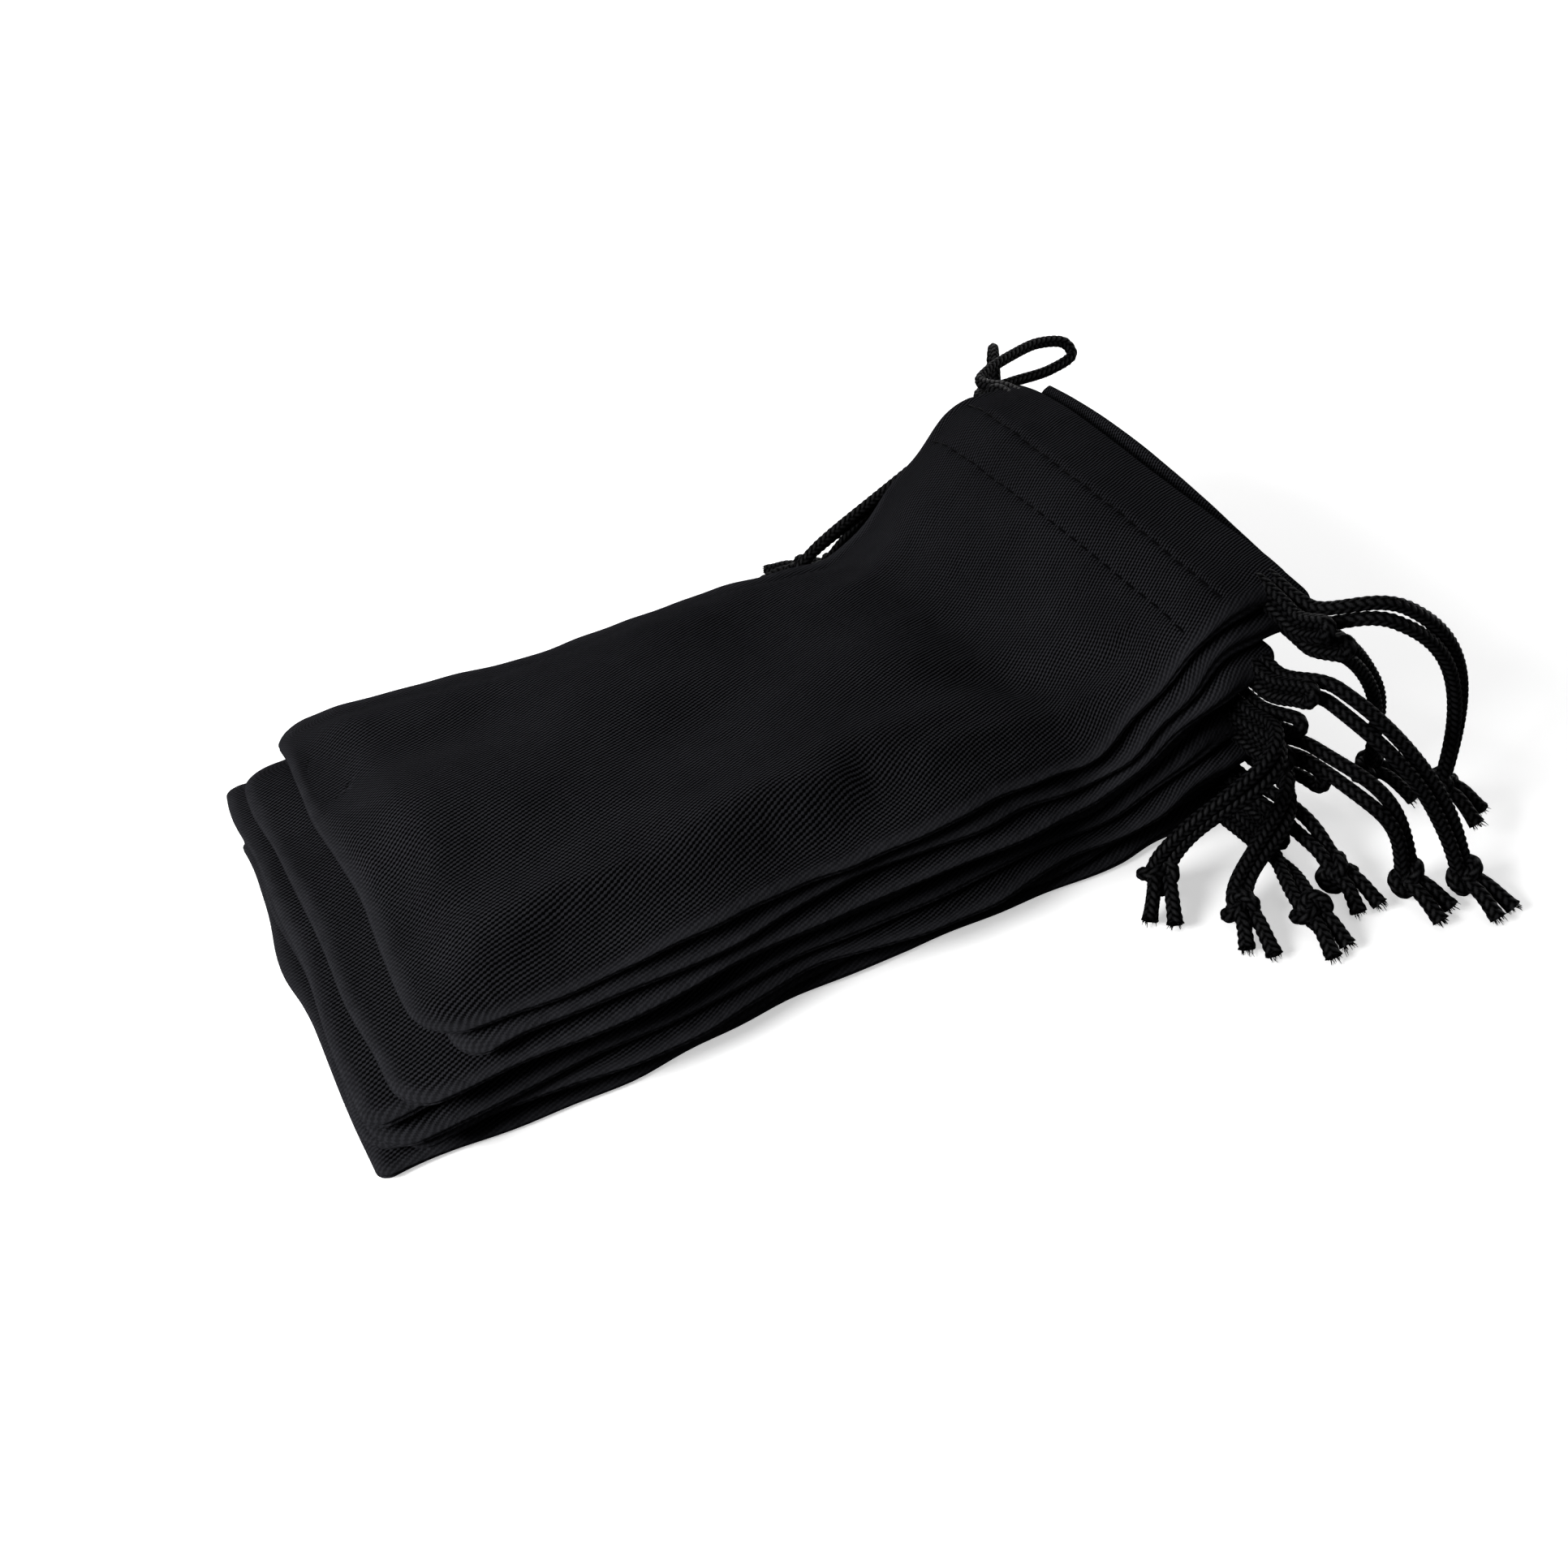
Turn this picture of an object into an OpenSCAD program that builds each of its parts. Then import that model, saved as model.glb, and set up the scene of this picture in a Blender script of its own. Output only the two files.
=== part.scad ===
// Stack of eight identical soft drawstring pouches for spectacles.
// Each pouch is a microfibre sleeve, closed at its -X end and along both
// sides, with a stitched drawcord hem at its +X mouth. Two braided cords run
// through the hem in opposite directions and end in a knot.
//
// Millimetres. X runs along the pouches (mouth at +X), Y across them, Z up.
// Z = 0 is the bottom pouch's underside, which rests on a table, and Y = 0 its
// middle. X = 0 is about halfway along the stack.
// Pouch 1 is the top of the stack, pouch 8 the bottom.

/* [Pouch] */
// Width of a pouch across its side seams
pouch_width = 90; // [86:1:94]
// Thickness of one fabric ply
ply = 0.5; // [0.4:0.05:0.55]
// Height one pouch takes in the stack at its closed end
level_closed = 3.0; // [2.9:0.05:3.2]
// Extra height a pouch gains along its middle
level_swell = 0.4; // [0.2:0.05:0.6]
// Extra height of the corded hem over the flat body
level_hem = 3.2; // [3.1:0.05:3.4]
// Air gap between neighbouring pouches
gap = 0.25; // [0.2:0.05:0.3]
// Plan radius of the closed end's corners
closed_radius = 7; // [4:1:12]
// Plan radius of the mouth's corners
mouth_radius = 4; // [3:1:5]

/* [Hem] */
// Distance of the drawcord tunnel's closed-end side from the mouth
tunnel_width = 8.6; // [8.4:0.1:9]
// Distance of the first stitch row from the mouth
row_1 = 16.5; // [14:0.5:18]
// Distance of the second stitch row from the mouth
row_2 = 25; // [22:0.5:27]
// Length of one stitch
stitch_length = 2.65; // [2:0.05:3]
// Pitch of the stitches along a row
stitch_pitch = 3.55; // [3.2:0.05:4]

/* [Cord] */
// Diameter of the braided drawcord across its corners
cord_diameter = 2.2; // [1.8:0.1:2.2]
// Gap between the two strands of a tail
strand_gap = 0.3; // [0.2:0.05:0.5]
// Length each cord can be drawn before the fabric gathers
pull = 10; // [8:1:10]
// Length of the two cut ends behind a knot
cut_end = 8.5; // [7:0.5:10]

/* [Hidden] */

fabric = [0.09, 0.09, 0.10];
fabric_in = [0.12, 0.12, 0.13];
braid = [0.05, 0.05, 0.055];
thread = [0.16, 0.16, 0.17];

// ---- stack ----
// how each pouch was laid down; level 0 is the bottom pouch
closed_x = [-88, -87, -82, -86, -87, -83, -71.5, -76];
mouth_x  = [92, 92.5, 97, 92.5, 90, 93, 103, 97];
shift_y  = [0, 1, -1.5, 1, 2.5, 0, 3, 4.5];

swell_start = -60;        // x where the body starts to swell, and over what length
swell_run = 100;
hem_start = 45;           // x where the rise to the hem starts, and its length
hem_run = 38;
hem_x = 90;               // an x past the rise, where every hem is level
rim_drop = 0.45;          // rims below the upper ply's underside

// x grid that all the pouches share, so neighbours follow the same facets
grid = concat([for (x = -84; x < 40; x = x + 12.4) x],
              [for (x = 40; x < max(mouth_x); x = x + 3) x]);

function smooth(u) = let (v = min(max(u, 0), 1)) v * v * (3 - 2 * v);
function unit(v) = v / norm(v);
function reversed(list) = [for (i = [len(list) - 1 : -1 : 0]) list[i]];

// height one pouch takes in the stack at x
function level_height(x) = level_closed + level_swell * smooth((x - swell_start) / swell_run)
                           + level_hem * smooth((x - hem_start) / hem_run);
function floor_z(level, x) = level * level_height(x);
function top_z(level, x) = (level + 1) * level_height(x) - gap;
function rim_z(level, x) = top_z(level, x) - ply - rim_drop;
// y of a pouch's side; side is -1 or 1
function side_y(level, side) = shift_y[level] + side * pouch_width / 2;
// both ends and the grid points between them, less any too close to an end
function stations(from, to) = concat([from], [for (x = grid) if (x > from + 1 && x < to - 0.5) x],
                                     [to]);

// plan outline of a pouch between x0 and x1, with its sides and closed end inset
module outline(level, x0, x1, inset) {
    width = pouch_width - 2 * inset;
    r0 = closed_radius - inset;
    r1 = mouth_radius;
    translate([0, shift_y[level]]) union() {
        translate([x0 + r0, -width / 2]) square([x1 - x0 - r0 - r1, width]);
        translate([x0, -width / 2 + r0]) square([r0 + 1, width - 2 * r0]);
        translate([x1 - r1 - 1, -width / 2 + r1]) square([r1 + 1, width - 2 * r1]);
        for (side = [-1, 1]) {
            translate([x0 + r0, side * (width / 2 - r0)]) circle(r = r0, $fn = 32);
            translate([x1 - r1, side * (width / 2 - r1)]) circle(r = r1, $fn = 32);
        }
    }
}

// a side profile (points are [x, z]) drawn across the pouch from y0 to y1
module across(profile, y0, y1) {
    translate([0, y1, 0]) rotate([90, 0, 0])
        linear_extrude(height = y1 - y0) polygon(profile);
}

// a side profile trimmed to a plan outline; it is drawn wider than the pouch by
// spare on each side, and the outline stands from z_from to clear the stack
module trimmed(level, profile, x0, x1, inset = 0, spare = 1, z_from = -5, height = 70) {
    intersection() {
        across(profile, side_y(level, -1) - spare, side_y(level, 1) + spare);
        translate([0, 0, z_from]) linear_extrude(height = height) outline(level, x0, x1, inset);
    }
}

// ---- panels ----
mouth_bevel = [1.2, 0.9];   // x and z of the bevels on the hem's outer edges
lip_bevel = [0.9, 0.6];     // x and z of the bevels where the tunnel halves meet
lower_half_z = 3.1;         // top of the lower tunnel half over the floor
upper_half_z = 3.35;        // underside of the upper tunnel half over the floor
channel_in = 7.8;           // channel's two sides, back from the mouth
channel_out = 2;
channel_floor = 0.4;        // fabric left under and over the channel
channel_roof = 0.35;
back_extra = 0.5;           // lower tunnel half's extra reach towards the closed end
rim_width = 1.4;

// lower ply: floor, side and end rims, and the lower half of the tunnel
module back_panel(level) {
    closed = closed_x[level];
    mouth = mouth_x[level];
    z0 = floor_z(level, mouth);
    tunnel_x = mouth - tunnel_width - back_extra;
    xs = stations(closed, tunnel_x);
    body = concat(
        [for (x = xs) [x, floor_z(level, x)]],
        [[mouth - mouth_bevel[0], z0], [mouth, z0 + mouth_bevel[1]],
         [mouth, z0 + lower_half_z - lip_bevel[1]],
         [mouth - lip_bevel[0], z0 + lower_half_z], [tunnel_x, z0 + lower_half_z]],
        [for (x = reversed(xs)) [x, rim_z(level, x)]]);
    pocket = concat([for (x = xs) [x, floor_z(level, x) + ply]],
                    [for (x = reversed(xs)) [x, rim_z(level, x) + 2]]);
    difference() {
        trimmed(level, body, closed, mouth);
        trimmed(level, pocket, closed + rim_width, tunnel_x + 10, inset = rim_width,
                spare = 2, z_from = -6, height = 74);
        translate([mouth - channel_in, side_y(level, -1) - 2, z0 + channel_floor])
            cube([channel_in - channel_out, pouch_width + 4, 4]);
    }
}

// upper ply: a thin sheet with the upper half of the tunnel under it
module front_panel(level) {
    closed = closed_x[level];
    mouth = mouth_x[level];
    z1 = top_z(level, mouth);
    split_z = floor_z(level, mouth) + upper_half_z;
    tunnel_x = mouth - tunnel_width;
    xs = stations(closed, tunnel_x);
    sheet = concat(
        [for (x = xs) [x, top_z(level, x)]],
        [[mouth - mouth_bevel[0], z1], [mouth, z1 - mouth_bevel[1]],
         [mouth, split_z + lip_bevel[1]], [mouth - lip_bevel[0], split_z],
         [mouth - channel_out, split_z], [mouth - channel_out, z1 - channel_roof],
         [mouth - channel_in, z1 - channel_roof], [mouth - channel_in, split_z],
         [tunnel_x, split_z]],
        [for (x = reversed(xs)) [x, top_z(level, x) - ply]]);
    trimmed(level, sheet, closed, mouth);
}

// ---- stitching ----
row_margin = 2;             // fabric at least left at each end of a hem row
hem_thread = [0.5, 0.1];    // thread's x width and height
hem_lift = 0.02;            // thread's clearance over the upper ply
seam_lift = 0.04;           // thread's clearance over the rims
side_inset = 0.7;           // side seam's centre in from the pouch's side
side_thread = [0.4, 0.28];  // thread's y width and height
end_inset = 0.5;            // closed-end seam's start from the closed end
end_thread = [0.4, 0.26];   // thread's x width and height
seam_stop = 14;             // side seam's end back from the mouth, before grid rounding
seam_clear = 1;             // seams' clearance from the closed end's corners

// profile of a thread lying on a line of [x, z] points
function strip(line, height) = concat(line, [for (p = reversed(line)) p + [0, height]]);

// two rows of stitches lying on the upper ply behind the tunnel
module hem_rows(level) {
    count = floor((pouch_width - 2 * row_margin) / stitch_pitch);
    for (row = [row_1, row_2]) for (i = [0 : count - 1]) {
        x0 = mouth_x[level] - row;
        y = shift_y[level] + (i - (count - 1) / 2) * stitch_pitch;
        line = [for (x = [x0, x0 + hem_thread[0]]) [x, top_z(level, x) + hem_lift]];
        across(strip(line, hem_thread[1]), y - stitch_length / 2, y + stitch_length / 2);
    }
}

// seam thread lying on the rims, along both sides and the closed end
module seam_rows(level) {
    closed = closed_x[level];
    corner = closed_radius + seam_clear;
    stop = mouth_x[level] - seam_stop - 0.5;
    side_line = [for (x = grid) if (x > closed + corner && x < stop)
                    [x, rim_z(level, x) + seam_lift]];
    for (side = [-1, 1]) {
        y = side_y(level, side) - side * side_inset;
        across(strip(side_line, side_thread[1]), y - side_thread[0] / 2, y + side_thread[0] / 2);
    }
    x0 = closed + end_inset;
    z = rim_z(level, closed) + seam_lift;
    across(strip([[x0, z], [x0 + end_thread[0], z]], end_thread[1]),
           side_y(level, -1) + corner, side_y(level, 1) - corner);
}

// ---- drawcords ----
// side is -1 for the near cord, whose tail leaves at -Y, and 1 for the far one;
// each cord's loop stands out of the opposite side
near = -1;
far = 1;
// 1 where the near cord runs in the lane nearer the closed end
swapped  = [1, 0, 1, 0, 1, 0, 0, 0];
// tail of each cord, by level: knot x, y, z, then how far the tail runs straight
// out, how steeply it drops and how flat it lands
near_tail = [[77, -76, 3.6, 16, 3, 7], [90, -71, 3.6, 14, 4, 5],
             [66, -69, 3.6, 19, 3, 10], [99.5, -79, 3.6, 30, 15, 6],
             [57, -56, 5.5, 30, 16, 3], [109, -84, 3.6, 26, 16, 9],
             [119, -53, 5.5, 7, 26, 0], [122, -67, 8.5, 20, 42, 2]];
far_tail  = [[97, 74, 3.6, 15, 4, 6], [84, 69, 3.6, 15, 5, 4],
             [105, 77, 3.6, 20, 7, 6], [75, 73, 3.6, 20, 8, 6],
             [114, 79, 3.6, 24, 12, 8], [64, 77, 3.6, 32, 24, 6],
             [122, 82, 4.5, 40, 8, 12], [54, 72, 8.5, 18, 16, 3]];
// how far each loop stands out; the near one on raised_level has its own table
near_loop = [13.5, 13, 14, 13, 14, 13.5, 27, 14];
far_loop  = [13.5, 13, 14, 13.5, 14, 13, 13.5, 14.5];

cord_radius = cord_diameter / 2;
half_gap = cord_radius + strand_gap / 2;   // strand centre from the tail's centre
lane_out = 3.5;                            // lane centres behind the mouth edge
lane_in = 6.3;
strand_lo = 1.65;                          // strand centres over the pouch's floor
strand_hi = 4.8;
strand_mid = (strand_lo + strand_hi) / 2;
strand_half = (strand_hi - strand_lo) / 2;
exit_out = 1.5;                            // tail's start beyond the pouch's side
tail_slant = 0.35;                         // share of the tail's x run its knot follows
tail_steps = 10;

// the loop that rises and leans to +X: x from the lane, distance out of the
// side, z over the pouch's floor
raised_level = 6;
raised_loop = [[2, 15, strand_hi + 2.6], [5.5, 21, strand_hi + 6.8],
               [8.5, 25.5, strand_hi + 7.4], [9, 26, strand_hi + 3.6],
               [6.5, 21.5, strand_lo + 2.9], [2.5, 15.5, strand_lo + 1.8]];

turn_offset = 0.9;                         // knot's two turns from its centre
turn_tilt = 0.45;
turn_radius = 1.75;
turn_squash = 0.95;                        // turn's height over its width
end_back = 1.5;                            // cut ends' start behind the knot's centre
end_straight = 2.5;
end_splay = 2.2;
end_drop = 3.5;
end_thinning = 0.98;                       // cut ends' radius over the cord's
table_clear = 0.15;

function in_outer_lane(level, side) = (side == near) == (swapped[level] == 0);
function lane_x(level, side) =
    mouth_x[level] - (in_outer_lane(level, side) ? lane_out : lane_in);
function tail_row(level, side) = side == near ? near_tail[level] : far_tail[level];
function knot_centre(level, side) = [for (i = [0 : 2]) tail_row(level, side)[i]];
// where a tail's centre line leaves the hem
function tail_exit(level, side) =
    [lane_x(level, side), side_y(level, side) + side * exit_out,
     floor_z(level, hem_x) + strand_mid];
// level direction in which the tail reaches its knot
function tail_dir(level, side) =
    let (run = knot_centre(level, side) - tail_exit(level, side))
    unit([tail_slant * run[0], run[1], 0]);
// level direction from the tail's centre to the strand from the upper tunnel
function tail_side(level, side) =
    let (dir = tail_dir(level, side), turn = in_outer_lane(level, side) ? -side : side)
    [-dir[1] * turn, dir[0] * turn, 0];
// tail's centre line, a Bezier curve from the hem (u = 0) to the knot (u = 1)
function tail_mid(level, side, u) =
    let (row = tail_row(level, side), dir = tail_dir(level, side),
         start = tail_exit(level, side), end = knot_centre(level, side),
         control_1 = start + [0, side * row[3], 0],
         control_2 = end - row[5] * dir + [0, 0, row[4]],
         v = 1 - u)
    v * v * v * start + 3 * v * v * u * control_1 + 3 * v * u * u * control_2 + u * u * u * end;
// from the centre line to a strand: upright at the hem, level before the knot
function tail_half(level, side, u) =
    let (w = smooth(1.15 * u), dir = unit((1 - w) * [0, 0, 1] + w * tail_side(level, side)))
    dir * (strand_half + (half_gap - strand_half) * w);
// loop's points in the columns of raised_loop
function loop_points(level, side) =
    side == near && level == raised_level ? raised_loop :
    let (out = side == near ? near_loop[level] : far_loop[level])
    [for (a = [75 : -30 : -75])
        [0, out - strand_half * (1 - cos(a)), strand_mid + strand_half * sin(a)]];
function loop_line(level, side) =
    [for (p = concat([[0, pull, strand_hi]], loop_points(level, side), [[0, pull, strand_lo]]))
        [lane_x(level, side) + p[0], side_y(level, -side) - side * p[1],
         floor_z(level, hem_x) + p[2]]];
// centre line of a cord: up one strand of the tail from the knot, through the
// upper tunnel, round the loop, back through the lower tunnel and down the
// tail's other strand
function cord_line(level, side) = concat(
    [for (i = [tail_steps : -1 : 0])
        tail_mid(level, side, i / tail_steps) + tail_half(level, side, i / tail_steps)],
    loop_line(level, side),
    [for (i = [0 : tail_steps])
        tail_mid(level, side, i / tail_steps) - tail_half(level, side, i / tail_steps)]);

// a six-sided cord swept along a line of points, its section turned as little
// as possible from ring to ring
module sweep(line, radius) {
    last = len(line) - 1;
    tangents = [for (i = [0 : last]) unit(line[min(i + 1, last)] - line[max(i - 1, 0)])];
    normals = [for (v = unit(cross(tangents[0], [0.3, 0.1, 1])), i = 0; i <= last;
                    v = unit(v - (v * tangents[min(i + 1, last)]) * tangents[min(i + 1, last)]),
                    i = i + 1) v];
    points = [for (i = [0 : last]) for (a = [0 : 60 : 300])
        line[i] + radius * (cos(a) * normals[i] + sin(a) * cross(tangents[i], normals[i]))];
    faces = concat(
        [[for (j = [0 : 5]) j]],
        [for (i = [0 : last - 1]) for (j = [0 : 5])
            let (ring = i * 6, next = ring + 6, j2 = (j + 1) % 6)
            each [[ring + j, next + j2, ring + j2], [ring + j, next + j, next + j2]]],
        [[for (j = [5 : -1 : 0]) last * 6 + j]]);
    polyhedron(points = points, faces = faces, convexity = 8);
}

// one turn of the knot: a closed ring of short cord pieces
module knot_turn(centre, axis) {
    pieces = 6;
    function at(i) = centre + turn_radius * (cos(i * 360 / pieces) * axis
                                             + turn_squash * sin(i * 360 / pieces) * [0, 0, 1]);
    for (i = [0 : pieces - 1]) hull() {
        translate(at(i)) sphere(r = cord_radius, $fn = 6);
        translate(at(i + 1)) sphere(r = cord_radius, $fn = 6);
    }
}

module cord(level, side) {
    centre = knot_centre(level, side);
    dir = tail_dir(level, side);
    sideways = tail_side(level, side);
    end_z = max(cord_radius + table_clear, centre[2] - end_drop);
    sweep(cord_line(level, side), cord_radius);
    for (s = [-1, 1])
        knot_turn(centre + s * turn_offset * dir, unit(sideways - s * turn_tilt * dir));
    for (s = [-1, 1]) {
        start = centre + s * half_gap * sideways - end_back * dir;
        tip = centre + cut_end * dir + s * end_splay * sideways;
        sweep([start, start + end_straight * dir, [tip[0], tip[1], end_z]],
              cord_radius * end_thinning);
    }
}

// ---- nodes ----
module pouch_front(level) { color(fabric) front_panel(level); }
module pouch_back(level) { color(fabric_in) back_panel(level); }
module pouch_hem(level) { color(thread) hem_rows(level); }
module pouch_seam(level) { color(thread) seam_rows(level); }
module pouch_near(level) { color(braid) cord(level, near); }
module pouch_far(level) { color(braid) cord(level, far); }

pouch_front(7);  // pouch_1_front_panel
pouch_back(7);  // pouch_1_back_panel
pouch_hem(7);  // pouch_1_hem_stitching
pouch_seam(7);  // pouch_1_seam_stitching
pouch_near(7);  // pouch_1_near_cord
pouch_far(7);  // pouch_1_far_cord
pouch_front(6);  // pouch_2_front_panel
pouch_back(6);  // pouch_2_back_panel
pouch_hem(6);  // pouch_2_hem_stitching
pouch_seam(6);  // pouch_2_seam_stitching
pouch_near(6);  // pouch_2_near_cord
pouch_far(6);  // pouch_2_far_cord
pouch_front(5);  // pouch_3_front_panel
pouch_back(5);  // pouch_3_back_panel
pouch_hem(5);  // pouch_3_hem_stitching
pouch_seam(5);  // pouch_3_seam_stitching
pouch_near(5);  // pouch_3_near_cord
pouch_far(5);  // pouch_3_far_cord
pouch_front(4);  // pouch_4_front_panel
pouch_back(4);  // pouch_4_back_panel
pouch_hem(4);  // pouch_4_hem_stitching
pouch_seam(4);  // pouch_4_seam_stitching
pouch_near(4);  // pouch_4_near_cord
pouch_far(4);  // pouch_4_far_cord
pouch_front(3);  // pouch_5_front_panel
pouch_back(3);  // pouch_5_back_panel
pouch_hem(3);  // pouch_5_hem_stitching
pouch_seam(3);  // pouch_5_seam_stitching
pouch_near(3);  // pouch_5_near_cord
pouch_far(3);  // pouch_5_far_cord
pouch_front(2);  // pouch_6_front_panel
pouch_back(2);  // pouch_6_back_panel
pouch_hem(2);  // pouch_6_hem_stitching
pouch_seam(2);  // pouch_6_seam_stitching
pouch_near(2);  // pouch_6_near_cord
pouch_far(2);  // pouch_6_far_cord
pouch_front(1);  // pouch_7_front_panel
pouch_back(1);  // pouch_7_back_panel
pouch_hem(1);  // pouch_7_hem_stitching
pouch_seam(1);  // pouch_7_seam_stitching
pouch_near(1);  // pouch_7_near_cord
pouch_far(1);  // pouch_7_far_cord
pouch_front(0);  // pouch_8_front_panel
pouch_back(0);  // pouch_8_back_panel
pouch_hem(0);  // pouch_8_hem_stitching
pouch_seam(0);  // pouch_8_seam_stitching
pouch_near(0);  // pouch_8_near_cord
pouch_far(0);  // pouch_8_far_cord
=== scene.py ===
# A stack of eight soft drawstring pouches lying flat on the floor (z = 0).
# Each pouch lies along x, its closed end towards -x and its mouth towards +x.
# The near side is -y and the far side +y. Pouch index 0 is at the bottom; it is
# called pouch_8, and the top one pouch_1. Cloth and cord lengths are in
# millimetres and become metres in make(); the stage is in metres.
import bpy
import math
import numpy as np
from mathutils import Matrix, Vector


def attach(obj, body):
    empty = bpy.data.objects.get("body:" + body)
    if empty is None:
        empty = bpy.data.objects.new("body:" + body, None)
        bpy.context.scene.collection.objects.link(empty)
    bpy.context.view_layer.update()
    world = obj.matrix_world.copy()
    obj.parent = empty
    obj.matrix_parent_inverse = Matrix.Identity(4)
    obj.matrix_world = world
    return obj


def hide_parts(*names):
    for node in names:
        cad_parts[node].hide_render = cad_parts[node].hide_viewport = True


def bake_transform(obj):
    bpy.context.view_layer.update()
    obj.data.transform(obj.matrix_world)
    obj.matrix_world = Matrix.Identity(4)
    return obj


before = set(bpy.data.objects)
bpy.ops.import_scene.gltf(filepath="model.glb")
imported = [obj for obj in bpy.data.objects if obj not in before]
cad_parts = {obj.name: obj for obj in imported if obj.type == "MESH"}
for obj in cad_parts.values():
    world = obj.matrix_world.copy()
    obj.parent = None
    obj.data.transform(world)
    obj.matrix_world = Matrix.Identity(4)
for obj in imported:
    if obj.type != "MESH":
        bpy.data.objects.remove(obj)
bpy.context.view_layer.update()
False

# ------------------------------------------------------------------ layout
MM = 0.001
COUNT = 8
TOP = COUNT - 1                 # index of the top pouch
SECOND = COUNT - 2              # the one under it
WIDTH = 90.0
HALF_WIDTH = WIDTH / 2
UP = np.array([0, 0, 1.0])
# one entry per pouch, bottom to top
CLOSED_X = [-88, -87, -82, -86, -87, -83, -71.5, -76]
MOUTH_X = [92, 92.5, 97, 92.5, 90, 93, 103, 97]
SHIFT_Y = [0, 1, -1.5, 1, 2.5, 0, 3, 4.5]
CORNER_RADIUS = [2.2, 6.5, 4.0, 7.0, 3.2, 6.0, 5.0, 7.0]    # closed corners
MOUTH_CORNER_RADIUS = 3.2

# hem: two rows of stitches, placed by their distance back from the mouth
HEM_DEPTH = 28
MOUTH_FOLD = 1.5                # reach of the folded lip
ROWS = (16.5, 25.0)
ROW_DEPTHS = (0.62, 0.52)       # how far each row pulls the cloth down
STITCH_PITCH = 3.55
STITCH_LENGTH = 2.65

# cords: each pouch has two, one knotted on the near side and one on the far
NEAR_CORD_INNER = {0, 2, 4}     # pouches whose near cord is farther from the mouth
OUTER_LANE, INNER_LANE = 3.5, 6.3       # distance of the cords from the mouth
HIGH_STRAND, LOW_STRAND = 4.8, 1.65     # strand heights above the pouch's base
MIDDLE_STRAND = 3.225
STRAND_OFFSET = 1.575           # half the gap between the strands in the hem
KNOT_OFFSET = 1.36              # and half the gap at the knot
HIDDEN_END = 11.0               # length of each strand inside the hem
# columns: knot x, y, z, reach of the curve as it leaves the hem,
# height above the knot it comes down from, distance over which it comes down
NEAR_KNOTS = [
    (77, -76, 3.6, 16, 3, 7), (90, -71, 3.6, 14, 4, 5),
    (66, -69, 3.6, 19, 3, 10), (99.5, -79, 3.6, 30, 15, 6),
    (57, -56, 5.5, 30, 16, 3), (109, -84, 3.6, 26, 16, 9),
    (119, -53, 5.5, 7, 26, 0), (122, -67, 8.5, 20, 42, 2)]
FAR_KNOTS = [
    (97, 74, 3.6, 15, 4, 6), (84, 69, 3.6, 15, 5, 4),
    (105, 77, 3.6, 20, 7, 6), (75, 73, 3.6, 20, 8, 6),
    (114, 79, 3.6, 24, 12, 8), (64, 77, 3.6, 32, 16, 6),
    (122, 82, 4.5, 40, 8, 12), (54, 72, 8.5, 18, 16, 3)]
FAR_SAG = {5: 9.0, 7: 18.0}     # far cords that hang down behind the stack
# how far each cord's plain loop reaches out on the side opposite its knot
NEAR_CORD_LOOPS = [13.5, 13, 14, 13, 14, 13.5]
FAR_CORD_LOOPS = [13.5, 13, 14, 13.5, 14, 13, 13.5, 14.5]
# the near cords of the two top pouches have pulled-out loops instead;
# columns: x from the lane, distance out past the edge, height above the base
PULLED_START = 10.0
PULLED_LOOPS = {
    SECOND: [(2, 15, 7.4), (5.5, 21, 11.6), (8.5, 25.5, 12.2), (9, 26, 8.4),
             (6.5, 21.5, 4.55), (2.5, 15.5, 3.45)],
    TOP: [(4, 12.6, 5.6), (13, 15, 7.0), (22, 16, 8.0), (29, 14.5, 7.2),
          (30, 12.6, 5.0), (23, 11.8, 2.8), (11, 12.0, 1.85)]}


# ------------------------------------------------------------ shaping curves
def smooth(u):
    """0 to 1 with soft ends"""
    u = np.clip(u, 0, 1)
    return u * u * (3 - 2 * u)


def ramp(value, start, length):
    """rises softly from 0 at start to 1 a length further on"""
    return smooth((value - start) / length)


def fall(value, start, length):
    return 1 - ramp(value, start, length)


def bell(distance, width):
    return np.exp(-(distance / width) ** 2)


def unit(vector):
    return vector / np.linalg.norm(vector)


def ripple(x, y, seed, scale, count=7):
    """smooth repeatable noise, about -1 to 1; scale is its wavelength"""
    random = np.random.RandomState(seed)
    total = 0.0
    for _ in range(count):
        angle = random.uniform(0, 2 * math.pi)
        rate = 2 * math.pi / (scale * random.uniform(0.6, 1.6))
        along = np.cos(angle) * x + np.sin(angle) * y
        total = total + np.sin(rate * along + random.uniform(0, 2 * math.pi))
    return total / (count ** 0.5) / 1.3


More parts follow.
